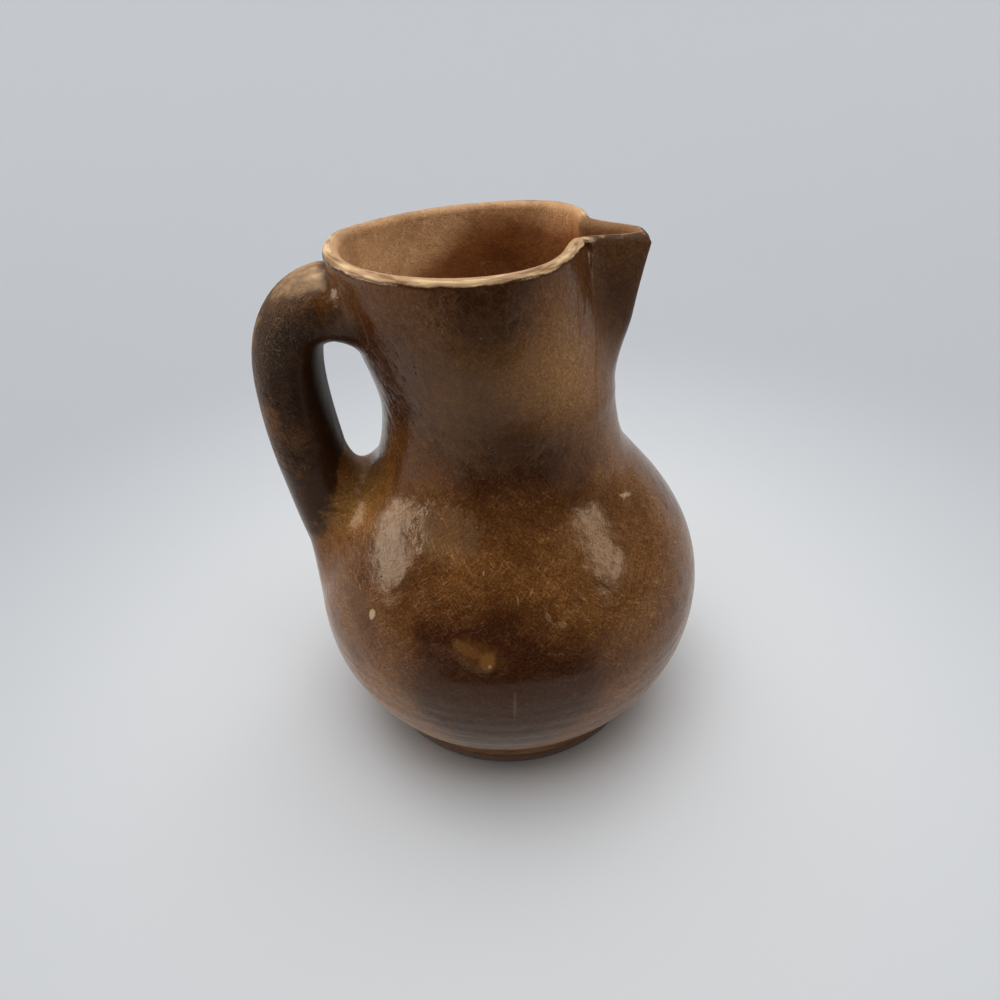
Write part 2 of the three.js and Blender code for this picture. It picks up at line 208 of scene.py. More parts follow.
def smooth(value, low, high):
    """Eases from 0 at low to 1 at high."""
    t = kept((value - low) / (high - low), 0.0, 1.0)
    return t * t * (3 - 2 * t)


def blend(a, b, share):
    """Goes from a to b."""
    return a + (b - a) * share


def kept(value, low, high):
    """A value kept between two bounds."""
    return min(max(value, low), high)


def reaches(line):
    """Distance of each point of a line from its start, along the line."""
    far = [0.0]
    for a, b in zip(line, line[1:]):
        far.append(far[-1] + (b - a).length)
    return far


def step_at(far, at):
    """Number of the step of a line in which a distance along it lies."""
    return kept(bisect.bisect_left(far, at), 1, len(far) - 1)


def point_at(line, far, at):
    """The point of a line at a distance along it."""
    k = step_at(far, at)
    return line[k - 1].lerp(line[k], (at - far[k - 1]) / (far[k] - far[k - 1]))


def evenly(line, step):
    """Points at even steps along a line, both ends kept."""
    far = reaches(line)
    count = max(2, round(far[-1] / step))
    return [point_at(line, far, far[-1] * i / count) for i in range(count + 1)]


def soft_more(a, b, soft):
    """The larger of two lengths, rounded where they cross."""
    share = kept(0.5 + 0.5 * (a - b) / soft, 0.0, 1.0)
    return b + (a - b) * share + soft * share * (1 - share)


def soft_less(a, b, soft):
    """The smaller of two lengths, rounded where they cross."""
    return -soft_more(-a, -b, soft)


def direction(degrees):
    """Unit step in the plane of radius and height."""
    return Vector((math.cos(math.radians(degrees)), math.sin(math.radians(degrees))))


# The clay's form


class PitcherForm:
    """Radius of the clay's outside and inside, by direction round the axis and by height."""

    # Where the belly starts over the foot's edge, and the neck over the crease, in radius and height
    heel_offset = Vector((-0.0003, 0.0003))
    neck_offset = Vector((-0.0008, 0.003))

    # Pulls of the outline's curves in metres, with their direction where they aren't upright
    heel_pull = direction(76) * 0.0096
    below_widest = 0.0234
    above_widest = 0.020
    shoulder_pull = direction(-55) * 0.0153
    neck_pull = direction(104) * 0.0235
    rim_pull = direction(84.5) * 0.033
    crease_pull = 0.0046

    # Curves of the hollow: where its wall starts and ends, and the pulls of its corner and crease
    corner_rise = 0.004
    corner_width = 0.007
    corner_pull = 0.002
    hollow_drop = 0.003
    hollow_pull = 0.006

    # Folds of the neck: the size that gives their depth, its sign, and their place and spread in degrees
    folds = (("near_fold", 1, -25, 33, 17), ("far_fold", 1, 20, 15, 15), ("handle_swell", -1, 175, 22, 22))
    fold_growth = 1.1

    # The beak at its foot: half width of its tip and of its root, reach of the root, and the drawn out keel
    foot_tip = 0.008
    foot_width = 0.0202
    foot_reach = 0.024
    foot_out = 0.0003
    keel_out = 0.0018
    keel_sunk = 0.004

    # Heights over the beak's foot between which its keel comes out of the neck, and its form takes over
    keel_zone = (-0.004, 0.006)
    form_zone = (-0.002, 0.020)

    # How far under the beak's foot the plain neck ends
    foot_margin = 0.006

    # Roundings where the beak's faces, its tip and its channel run together, and the bow of its tip
    face_round = 0.0016
    tip_round = 0.0022
    channel_round = 0.003
    tip_bow = 0.6

    # Beyond its valleys the beak falls away, by this much a radian after a soft start
    fall_away = 0.11
    fall_soft = 0.10

    # A radius outside every face of the beak, and the least that a direction and a face may look ahead
    far_out = 0.2
    least_ahead = 0.1
    least_facing = 0.02

    # Valleys beside the beak: direction at the foot in degrees, and how far each swings in to the rim
    valley_foot = 40
    near_swing = 17.3
    far_swing = 12.5

    # Seam of the beak on the turned clay, and half the width of the soft clay along it
    beak_seam = math.radians(45)
    valley_strip = math.radians(4.5)

    # The lip's drop: the heights between which it grows, and where along the beak it starts and its reach
    lip_zone = (0.13, 0.148)
    lip_start = 0.02
    lip_reach = 0.02

    # Lean of the belly: the height under which it starts, and its shift at the foot
    lean_height = 0.06
    lean_shift = Vector((-0.0011, -0.0006, 0))

    # Unevenness of the rim: the heights between which it grows, its wave, and its rise at the handle
    rim_zone = (0.12, 0.148)
    rim_wave = 0.0006
    rim_rise = 0.0009
    rise_place = (-0.039, 0.005)
    rise_spread = 0.00015

    def __init__(self, sizes):
        for key in PitcherSizes.__annotations__:
            setattr(self, key, getattr(sizes, key))
        self.rim_level = self.rim_height - self.neck_wall / 2
        self.beak_start = self.beak_foot - self.foot_margin
        self.crease_low = self.crease_height - self.crease_below
        self.crease_top = self.crease_height + self.crease_above
        self.outline = self.outer_line()
        self.heights = [p.y for p in self.outline]
        self.hollow = self.inner_line()
        self.hollow_heights = [p.y for p in self.hollow]

    def belly_line(self):
        """The belly's outside from the heel to the crease."""
        heel = Vector((self.foot_radius, self.foot_height)) + self.heel_offset
        widest = Vector((self.belly_radius, self.belly_height))
        crease = Vector((self.crease_radius, self.crease_height))
        below = widest - Vector((0, self.below_widest))
        above = widest + Vector((0, self.above_widest))
        lower = cubic((heel, heel + self.heel_pull, below, widest), 48)
        upper = cubic((widest, above, crease + self.shoulder_pull, crease), 56)
        return lower + upper[1:]

    def neck_line(self):
        """The neck's outside from its foot to the rim."""
        foot = Vector((self.crease_radius, self.crease_height)) + self.neck_offset
        rim = Vector((self.rim_radius, self.rim_level))
        return cubic((foot, foot + self.neck_pull, rim - self.rim_pull, rim), 80)

    def outer_line(self):
        """Belly, soft crease and neck as one line."""
        belly = [p for p in self.belly_line() if p.y < self.crease_low]
        neck = [p for p in self.neck_line() if p.y > self.crease_top]
        low = self.at_height(self.belly_line(), self.crease_low)
        top = self.at_height(self.neck_line(), self.crease_top)
        leave = (low - belly[-1]).normalized() * self.crease_pull
        arrive = (neck[0] - top).normalized() * self.crease_pull
        crease = cubic((low, low + leave, top - arrive, top), 18)
        return belly + crease + neck

    @staticmethod
    def at_height(line, height):
        """The point of a rising line at a height."""
        for a, b in zip(line, line[1:]):
            if a.y <= height <= b.y:
                return a.lerp(b, (height - a.y) / (b.y - a.y))
        return line[-1].copy()

    def inner_line(self):
        """The hollow's wall from the floor to the rim."""
        belly = self.belly_line()
        line = []
        for before, here, after in zip(belly, belly[1:], belly[2:]):
            along = (after - before).normalized()
            line.append(here - Vector((along.y, -along.x)) * self.belly_wall)
        bottom, end = self.floor_height + self.corner_rise, self.crease_low - self.hollow_drop
        line = [p for p in line if bottom < p.y < end]
        neck = [Vector((p.x - self.neck_wall, p.y)) for p in self.neck_line() if p.y > self.crease_top]
        low, top = line[-1], neck[0]
        leave = (low - line[-2]).normalized() * self.hollow_pull
        crease = cubic((low, low + leave, top - Vector((0, self.hollow_pull)), top), 14)
        wall = line[0]
        corner = cubic((Vector((wall.x - self.corner_width, self.floor_height)),
                        Vector((wall.x - self.corner_pull, self.floor_height)),
                        wall - (line[1] - wall).normalized() * self.corner_pull, wall), 8)
        return corner + line[1:] + crease[1:] + neck[1:]

    @staticmethod
    def look_up(line, heights, z):
        """Radius of a line at a height."""
        i = step_at(heights, z)
        a, b = line[i - 1], line[i]
        rise = b.y - a.y
        return blend(a.x, b.x, kept((z - a.y) / rise, 0.0, 1.0)) if rise > 1e-9 else b.x

    def turned_radius(self, z):
        """Outside of the clay as it comes off the wheel."""
        return self.look_up(self.outline, self.heights, z)

    def hollow_radius(self, z):
        """Inside of the clay as it comes off the wheel."""
        return self.look_up(self.hollow, self.hollow_heights, z)

    def is_inside(self, point):
        """Whether a point of the turned clay lies on its inner wall."""
        middle = (self.turned_radius(point.z) + self.hollow_radius(point.z)) / 2
        return math.hypot(point.x, point.y) < middle

    def beak_rise(self, z):
        """Share of the way from the beak's foot to the rim."""
        return kept((z - self.beak_foot) / (self.rim_height - self.beak_foot), 0.0, 1.0)

    def over_foot(self, z, zone):
        """Eases from 0 to 1 between two heights over the beak's foot."""
        low, high = zone
        return smooth(z, self.beak_foot + low, self.beak_foot + high)

    def fold_depth(self, around, z):
        """How far the folds beside the beak press the neck in, less the swell at the handle."""
        depth = 0.0
        for size, sign, at, before, after in self.folds:
            apart = (math.degrees(around) - at + 180) % 360 - 180
            spread = before if apart < 0 else after
            depth += sign * getattr(self, size) * math.exp(-0.5 * (apart / spread) ** 2)
        return depth * self.beak_rise(z) ** self.fold_growth

    def beak_radius(self, around, z, wall, tip_wall):
        """Outside of the beak, or its channel where a wall is taken off."""
        rise = self.beak_rise(z)
        tip = self.turned_radius(z) + blend(self.foot_out, -self.beak_back, rise)
        tip += self.keel_out * (1 - rise) ** 2 - self.beak_hollow * 4 * rise * (1 - rise)
        tip -= self.keel_sunk * (1 - self.over_foot(z, self.keel_zone))
        half = blend(self.foot_tip, self.beak_tip, rise)
        aside = self.beak_aside * rise
        reach = blend(self.foot_reach, self.beak_root, rise)
        aim = Vector((math.cos(around), math.sin(around)))
        if aim.x < self.least_ahead:
            return 0.0
        radius = self.far_out
        for side, width in ((-1, self.beak_near), (1, self.beak_far)):
            root = Vector((reach, side * blend(self.foot_width, width, rise)))
            along = (Vector((tip, side * half - aside)) - root).normalized()
            face = Vector((-side * along.y, side * along.x))
            facing = face.dot(aim)
            if facing > self.least_facing:
                radius = soft_less(radius, (face.dot(root) - wall) / facing, self.face_round)
        radius = soft_less(radius, (tip - tip_wall) / aim.x ** self.tip_bow, self.tip_round)
        beyond = max(0.0, abs(around) - abs(self.valley(z, 1 if around > 0 else -1)))
        return radius - self.fall_away * beyond * beyond / (beyond + self.fall_soft)

    def beak_share(self, z):
        """How far the beak stands out of the neck, growing softly from its foot."""
        return self.over_foot(z, self.form_zone)

    def neck_outside(self, around, z):
        """Outside of the neck, its folds and its beak."""
        collar = self.turned_radius(z) - self.fold_depth(around, z)
        if z <= self.beak_start:
            return collar
        drawn = soft_more(collar, self.beak_radius(around, z, 0, 0), self.valley_round)
        return blend(collar, drawn, self.beak_share(z))

    def neck_inside(self, around, z):
        """Inside of the neck and the beak's channel."""
        collar = self.hollow_radius(z) - self.fold_depth(around, z)
        if z <= self.beak_start:
            return collar
        channel = self.beak_radius(around, z, self.beak_wall, self.beak_tip_wall)
        drawn = soft_more(collar, channel, self.channel_round)
        return blend(collar, drawn, self.beak_share(z))

    def vessel_radius(self, around, z):
        """Outside of the whole pitcher without its handle."""
        if z < self.crease_top:
            return self.turned_radius(z)
        return self.neck_outside(around, min(z, self.rim_level))

    def gap(self, point):
        """How far a point stands off the pitcher's outside."""
        return math.hypot(point.x, point.y) - self.vessel_radius(math.atan2(point.y, point.x), point.z)

    def facing(self, point):
        """The way that the pitcher's outside faces at a point."""
        step = 0.0002
        slope = [self.gap(point + Vector(d) * step) - self.gap(point - Vector(d) * step)
                 for d in ((1, 0, 0), (0, 1, 0), (0, 0, 1))]
        return Vector(slope).normalized()

    def on_surface(self, point):
        """The point moved level onto the pitcher's outside."""
        around = math.atan2(point.y, point.x)
        radius = self.vessel_radius(around, point.z)
        return Vector((radius * math.cos(around), radius * math.sin(around), point.z))

    def valley(self, z, side):
        """Direction of the valley beside the beak, near side -1 or far side 1."""
        swing = self.near_swing if side < 0 else self.far_swing
        return math.radians(side * (self.valley_foot - swing * self.beak_rise(z) ** 1.5))

    def drawn_around(self, around, z):
        """Direction of a turned point once the clay is drawn towards the beak."""
        seam = self.beak_seam
        near, far = self.valley(z, -1), self.valley(z, 1)
        if abs(around) <= seam:
            return blend(near, far, (around + seam) / (2 * seam))
        beyond = around if around > 0 else around + math.tau
        share = (beyond - seam) / (math.tau - 2 * seam)
        return blend(far, near + math.tau, share)

    def pressed(self, point):
        """A point of the turned neck after the folds and the beak are pressed."""
        level = min(point.z, self.rim_level)
        around = self.drawn_around(math.atan2(point.y, point.x), level)
        share = (self.turned_radius(level) - math.hypot(point.x, point.y)) / self.neck_wall
        radius = blend(self.neck_outside(around, level), self.neck_inside(around, level), share)
        x, y = radius * math.cos(around), radius * math.sin(around)
        dip = self.beak_drop * smooth(point.z, *self.lip_zone)
        dip *= kept((x - self.lip_start) / self.lip_reach, 0.0, 1.0)
        return Vector((x, y, point.z - dip))

    def handled(self, point):
        """A point after the small shifts that the potter's hands left all over."""
        lean = max(0.0, 1 - point.z / self.lean_height) ** 2
        out = Vector((point.x, point.y, 0))
        wobble = noise.noise(point * 30) + 0.4 * noise.noise(point * 75 + Vector((3, 1, 7)))
        if out.length > 1e-6:
            out = out.normalized() * (self.hand_wobble * wobble * smooth(point.z, 0.0, 0.012))
        lift = self.rim_wave * noise.noise(Vector((point.x, point.y, 0)) * 28)
        x, y = self.rise_place
        lift += self.rim_rise * math.exp(-((point.x - x) ** 2 + (point.y - y) ** 2) / self.rise_spread)
        lift *= smooth(point.z, *self.rim_zone)
        return point + out + self.lean_shift * lean + Vector((0, 0, lift))


# Clay working


def clear_selection():
    """Goes to object mode with nothing selected."""
    if bpy.context.mode != "OBJECT":
        bpy.ops.object.mode_set(mode="OBJECT")
    bpy.ops.object.select_all(action="DESELECT")


def only(piece):
    """Makes one piece the selected and active one."""
    clear_selection()
    piece.select_set(True)
    bpy.context.view_layer.objects.active = piece


def named(piece, name):
    """Gives a piece and its mesh a name."""
    piece.name = name
    piece.data.name = name
    return piece


def turned(name, outline, segments, closed):
    """Turns an outline of radius and height round the upright axis, as on a wheel."""
    clear_selection()
    bpy.ops.mesh.primitive_plane_add(size=0.001, location=(0, 0, 0))
    piece = named(bpy.context.object, name)
    bpy.ops.object.mode_set(mode="EDIT")
    bpy.ops.mesh.merge(type="CENTER")
    bpy.ops.transform.translate(value=(outline[0][0], 0, outline[0][1]))
    ends = outline[1:] + ([outline[0]] if closed else [])
    for here, there in zip(outline, ends):
        step = (there[0] - here[0], 0, there[1] - here[1])
        bpy.ops.mesh.extrude_vertices_move(TRANSFORM_OT_translate={"value": step})
    bpy.ops.mesh.select_all(action="SELECT")
    bpy.ops.mesh.remove_doubles(threshold=1e-6)
    bpy.ops.mesh.select_all(action="SELECT")
    bpy.ops.mesh.spin(steps=segments, angle=math.tau, center=(0, 0, 0), axis=(0, 0, 1))
    bpy.ops.mesh.select_all(action="SELECT")
    bpy.ops.mesh.remove_doubles(threshold=2e-6)
    bpy.ops.mesh.normals_make_consistent(inside=False)
    bpy.ops.object.mode_set(mode="OBJECT")
    return piece


def cut_off(piece, name, chosen):
    """Cuts the faces whose centres are chosen off a piece, as a piece of their own."""
    only(piece)
    before = set(bpy.data.objects)
    bpy.ops.object.mode_set(mode="EDIT")
    bpy.ops.mesh.select_all(action="DESELECT")
    clay = bmesh.from_edit_mesh(piece.data)
    for face in clay.faces:
        face.select_set(chosen(face.calc_center_median()))
    bmesh.update_edit_mesh(piece.data)
    bpy.ops.mesh.separate(type="SELECTED")
    bpy.ops.object.mode_set(mode="OBJECT")
    return named((set(bpy.data.objects) - before).pop(), name)


def close_cuts(piece, cuts):
    """Fills the open edges that each cut left, one face for each."""
    only(piece)
    bpy.ops.object.mode_set(mode="EDIT")
    for cut in cuts:
        bpy.ops.mesh.select_all(action="DESELECT")
        clay = bmesh.from_edit_mesh(piece.data)
        for edge in clay.edges:
            if edge.is_boundary and all(cut(v.co) for v in edge.verts):
                edge.select_set(True)
        bmesh.update_edit_mesh(piece.data)
        bpy.ops.mesh.edge_face_add()
    bpy.ops.mesh.select_all(action="SELECT")
    bpy.ops.mesh.normals_make_consistent(inside=False)
    bpy.ops.object.mode_set(mode="OBJECT")


def drawn_tube(name, around, rings):
    """A plain closed tube, one unit between its rings, ready to be shaped."""
    clear_selection()
    bpy.ops.mesh.primitive_circle_add(vertices=around, radius=1, fill_type="NGON", location=(0, 0, 0))
    piece = named(bpy.context.object, name)
    bpy.ops.object.mode_set(mode="EDIT")
    for _ in range(rings):
        bpy.ops.mesh.extrude_region_move(TRANSFORM_OT_translate={"value": (0, 0, 1)})
    bpy.ops.mesh.select_all(action="SELECT")
    bpy.ops.mesh.remove_doubles(threshold=1e-4)
    bpy.ops.object.mode_set(mode="OBJECT")
    clay = bmesh.new()
    clay.from_mesh(piece.data)
    caps = [face for face in clay.faces if len(face.verts) == around]
    inner = [face for face in caps if 0.5 < face.calc_center_median().z < rings - 0.5]
    bmesh.ops.delete(clay, geom=inner, context="FACES_ONLY")
    clay.to_mesh(piece.data)
    clay.free()
    return piece


def shape(piece, move):
    """Moves every point of a piece."""
    for vertex in piece.data.vertices:
        vertex.co = move(vertex.co.copy())
    piece.data.update()


def mark(piece, marks):
    """Notes wear, smoke, grit and dullness at every point, for the finish to read."""
    layer = piece.data.attributes.new("marks", "FLOAT_COLOR", "POINT")
    for vertex, note in zip(piece.data.vertices, layer.data):
        note.color = marks(vertex.co)


def finish_piece(piece, form, slot, nodes, materials, pick):
    """Gives a shaped piece its hand-made unevenness, smooth faces and finish, and hands it to the frame."""
    shape(piece, form.handled)
    only(piece)
    bpy.ops.object.mode_set(mode="EDIT")
    bpy.ops.mesh.select_all(action="SELECT")
    bpy.ops.mesh.normals_make_consistent(inside=False)
    bpy.ops.object.mode_set(mode="OBJECT")
    bpy.ops.object.shade_smooth_by_angle(angle=SMOOTH_ANGLE, keep_sharp_edges=False)
    for material in materials:
        piece.data.materials.append(material)
    for face in piece.data.polygons:
        face.material_index = pick(face.center)
    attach(piece, BODY)
    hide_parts(*nodes)


def wall_corners(piece):
    """Corners of a piece's four-sided faces: each one's number, its place and its face's normal."""
    for face in piece.data.polygons:
        if len(face.vertices) == 4:
            for corner, index in zip(face.loop_indices, face.vertices):
                yield corner, piece.data.vertices[index].co.copy().freeze(), face.normal.copy()


def match_shading(pieces):
    """Shades pieces as one surface along the edges where they meet, so that no seam shows there."""
    slopes, owners = {}, {}
    for piece in pieces:
        for _, spot, normal in wall_corners(piece):
            slopes[spot] = slopes.get(spot, Vector()) + normal
            owners.setdefault(spot, set()).add(piece.name)
    for piece in pieces:
        normals = [Vector() for _ in piece.data.loops]
        for corner, spot, _ in wall_corners(piece):
            if len(owners[spot]) > 1:
                normals[corner] = slopes[spot].normalized()
        piece.data.normals_split_custom_set(normals)


# Finishes


class Finish:
    """Builds a node material step by step."""

    # Radius at which patterns that run round the pitcher are measured
    mean_radius = 0.05

    def __init__(self, name):
        self.material = bpy.data.materials.get(name) or bpy.data.materials.new(name)
        self.material.use_nodes = True
        self.tree = self.material.node_tree
        self.tree.nodes.clear()
        self.output = self.tree.nodes.new("ShaderNodeOutputMaterial")
        self.shader = self.tree.nodes.new("ShaderNodeBsdfPrincipled")
        self.join(self.shader.outputs["BSDF"], self.output.inputs["Surface"])
        self.place = self.tree.nodes.new("ShaderNodeTexCoord").outputs["Object"]

    def join(self, source, target):
        """Links a socket, or writes a plain value."""
        if isinstance(source, bpy.types.NodeSocket):
            self.tree.links.new(source, target)
        elif hasattr(source, "__len__"):
            spare = len(target.default_value) - len(source)
            target.default_value = tuple(source) + (1.0,) * spare
        else:
            target.default_value = source

    def node(self, kind, inputs):
        """A new node with links or plain values at its inputs."""
        node = self.tree.nodes.new("ShaderNode" + kind)
        for key, value in inputs.items():
            self.join(value, node.inputs[key])
        return node

    def axes(self):
        """Object coordinates, one by one."""
        return self.node("SeparateXYZ", {"Vector": self.place}).outputs

    def moved(self, offset):
        """Object coordinates shifted, so that a pattern lies elsewhere."""
        return self.node("Mapping", {"Vector": self.place, "Location": offset}).outputs["Vector"]

    def clouds(self, scale, detail, rough, swirl=0.0, place=None):
        """Cloudy noise, 0 to 1."""
        node = self.node("TexNoise", {
            "Vector": place or self.place, "Scale": scale, "Detail": detail,
            "Roughness": rough, "Distortion": swirl})
        return node.outputs["Fac"]

    def maths(self, kind, a, b, clamp=False):
        """Arithmetic on two values."""
        node = self.node("Math", {0: a, 1: b})
        node.operation = kind
        node.use_clamp = clamp
        return node.outputs[0]

    def plus(self, a, b, clamp=False):
        """The sum of two values."""
        return self.maths("ADD", a, b, clamp)

    def minus(self, a, b):
        """One value less another."""
        return self.maths("SUBTRACT", a, b)

    def times(self, a, b):
        """The product of two values."""
        return self.maths("MULTIPLY", a, b)

    def most(self, a, b):
        """The larger of two values."""
        return self.maths("MAXIMUM", a, b)

    def swing(self, pattern, size):
        """How far a pattern swings to either side of its middle."""
        return self.times(self.minus(pattern, 0.5), size)

    def ease(self, value, low, high, to_low=0.0, to_high=1.0):
        """Eases a value from one range to another."""
        node = self.node("MapRange", {
            "Value": value, "From Min": low, "From Max": high, "To Min": to_low, "To Max": to_high})
        node.interpolation_type = "SMOOTHSTEP"
        return node.outputs["Result"]

    def tones(self, value, stops):
        """Colour by value."""
        node = self.node("ValToRGB", {"Fac": value})
        ramp = node.color_ramp
        while len(ramp.elements) < len(stops):
            ramp.elements.new(0.5)
        for element, (at, tone) in zip(ramp.elements, stops):
            element.position = at
            element.color = (*tone, 1.0)
        return node.outputs["Color"]

    def over(self, share, under, top, kind="MIX"):
        """One colour laid over another."""
        node = self.tree.nodes.new("ShaderNodeMix")
        node.data_type = "RGBA"
        node.blend_type = kind
        self.join(share, node.inputs["Factor"])
        self.join(under, node.inputs[6])
        self.join(top, node.inputs[7])
        return node.outputs[2]

    def marks(self):
        """Wear, smoke, grit and dullness, as noted on the piece."""
        note = self.node("Attribute", {})
        note.attribute_name = "marks"
        split = self.node("SeparateColor", {"Color": note.outputs["Color"]})
        return (*split.outputs[:3], note.outputs["Alpha"])

    def laid(self, place, centre, sizes, turned_by):
        """Coordinates centred on a point, turned in degrees and measured in the given sizes."""
        node = self.node("Mapping", {
            "Vector": place, "Location": centre, "Scale": sizes,
            "Rotation": [math.radians(angle) for angle in turned_by]})
        node.vector_type = "TEXTURE"
        return node.outputs["Vector"]

    def strokes(self, width, reach, lean):
        """Short lines that run slantwise round the pitcher, their sizes in metres."""
        axes = self.axes()
        around = self.times(self.maths("ARCTAN2", axes["Y"], axes["X"]), self.mean_radius)
        flat = self.node("CombineXYZ", {"X": around, "Z": axes["Z"]}).outputs["Vector"]
        apart = (0.01 * lean, 0.02 * lean, 0)
        place = self.laid(flat, apart, (width, width, reach), (0, lean, 0))
        return self.clouds(1, 1, 0.5, 0.25, place)

    def scar(self, centre, sizes, turned_by, ragged):
        """1 inside a small ragged oval on the piece, its place and sizes in millimetres."""
        place = self.laid(self.place, [v / 1000 for v in centre], [v / 1000 for v in sizes], turned_by)
        far = self.node("VectorMath", {0: place})
        far.operation = "LENGTH"
        return self.ease(self.plus(far.outputs["Value"], ragged), 0.55, 1.15, 1.0, 0.0)

    def specks(self, scale, rare, low, high, place=None):
        """Scattered dots, fewer with a higher share."""
        node = self.node("TexVoronoi", {"Vector": place or self.place, "Scale": scale})
        split = self.node("SeparateColor", {"Color": node.outputs["Color"]})
        dot = self.ease(node.outputs["Distance"], low, high, 1.0, 0.0)
        return self.times(dot, self.ease(split.outputs["Red"], rare, rare + 0.08))

    def spot(self, centre, reach):
        """1 near a point of the piece and 0 beyond its reach, in metres."""
        near = self.node("VectorMath", {0: self.place, 1: centre})
        near.operation = "DISTANCE"
        return self.ease(near.outputs["Value"], 0.0, reach, 1.0, 0.0)

    def bumps(self, layers):
        """Small relief from several height fields, each with its depth in metres."""
        normal = None
        for height, depth in layers:
            node = self.node("Bump", {"Strength": 1.0, "Distance": depth, "Height": height})
            if normal:
                self.join(normal, node.inputs["Normal"])
            normal = node.outputs["Normal"]
        self.join(normal, self.shader.inputs["Normal"])


# Where the glaze's tone is raised or lowered: place and reach in metres, and how much; the places noted
# below are painted shade and painted dark reflection
GLAZE_TONE_AND_SHADE = (
    ((-0.043, -0.010, 0.080), 0.024, 0.22),
    ((-0.030, -0.010, 0.096), 0.014, 0.10),
    ((0.036, -0.034, 0.076), 0.034, 0.02),
    ((0.030, -0.012, 0.105), 0.022, 0.07),
    ((-0.026, -0.046, 0.062), 0.022, 0.06),
    # Painted dark reflection and painted shade on the low front of the belly
    ((-0.002, -0.060, 0.050), 0.042, -0.36),
    # Painted shade in the crease at the front of the shoulder
    ((0.004, -0.037, 0.098), 0.032, -0.20),
    ((0.018, -0.026, 0.122), 0.026, 0.32),
    ((0.004, -0.044, 0.082), 0.030, 0.11),
    ((0.000, -0.037, 0.143), 0.016, -0.20),
    ((0.030, -0.014, 0.134), 0.024, -0.15),
    ((-0.025, -0.023, 0.124), 0.026, -0.16),
)

# Chips, drips and scratches of the belly, with a painted sheen and a painted highlight noted below: place
# and sizes in millimetres, turn, colour and its share
BELLY_SCARS_AND_HIGHLIGHTS = (
    ((-37.0, -41.0, 62.4), (1.0, 1.2, 1.8), (0, 12, 0), "dust", 0.80),
    # Painted sheen: a faint pale veil that carries the left highlight further
    ((-15.5, -35.5, 84.5), (12.0, 10.0, 7.0), (0, 10, 0), "dust", 0.09),
    ((-9.0, -55.5, 60.2), (8.5, 5.0, 4.2), (0, 24, 0), "honey", 0.30),
    ((-6.7, -56.5, 58.8), (2.4, 2.5, 3.0), (0, 20, 0), "ochre", 0.45),
    # Painted highlight: a small pale dot on the drip
    ((-6.0, -57.0, 57.6), (0.5, 0.8, 0.5), (0, 0, 0), "dust", 0.45),
    ((-11.4, -54.6, 61.4), (5.4, 3.0, 1.5), (0, 24, 0), "ochre", 0.22),
    ((9.2, -51.3, 67.8), (0.7, 1.2, 1.6), (0, -30, 0), "dust", 0.13),
    ((12.7, -51.9, 65.7), (1.4, 1.2, 0.8), (0, 25, 0), "dust", 0.17),
    ((32.7, -22.7, 83.8), (2.6, 2.6, 0.35), (0, 24, 0), "dust", 0.60),
    ((32.7, -22.7, 83.8), (0.4, 0.4, 2.2), (0, 18, 0), "dust", 0.60),
    ((32.7, -22.7, 83.8), (1.9, 1.9, 0.30), (0, -40, 0), "dust", 0.60),
    ((2.0, -49.2, 71.8), (0.20, 0.8, 2.6), (0, -8, 0), "dust", 0.36),
    ((-0.3, -60.0, 46.0), (0.40, 1.5, 6.0), (0, 3, 0), "dust", 0.10),
    ((5.5, -47.8, 73.5), (0.2, 0.8, 2.2), (0, 28, 0), "dust", 0.22),
    ((-6.2, -44.3, 77.5), (0.25, 0.8, 0.7), (0, 10, 0), "dust", 0.55),
    ((-33.4, -27.6, 84.0), (0.4, 0.9, 3.2), (0, -14, 0), "dust", 0.40),
    ((-27.0, -29.0, 86.5), (3.0, 1.0, 0.35), (0, -24, 0), "dust", 0.30),
)

# Hairline cracks, a dark spot, a painted grey reflection and a drip on the neck, listed the same way
NECK_SCARS_AND_SHEEN = (
    ((-19.9, -26.9, 116.5), (0.20, 3.0, 3.6), (0, 62, 0), "smoke", 0.75),
    ((-17.6, -28.6, 113.4), (0.16, 3.0, 2.6), (0, 40, 0), "smoke", 0.60),
    ((-2.3, -32.7, 113.1), (3.2, 3.0, 2.0), (0, 0, 0), "umber", 0.18),
    # Painted reflection: a faint grey veil over the neck's front
    ((-4.0, -33.0, 121.0), (28.0, 20.0, 24.0), (0, 0, 0), "dust", 0.05),
    ((20.3, -21.3, 137.0), (1.5, 3.5, 9.5), (0, 4, 0), "brown", 0.70),
)


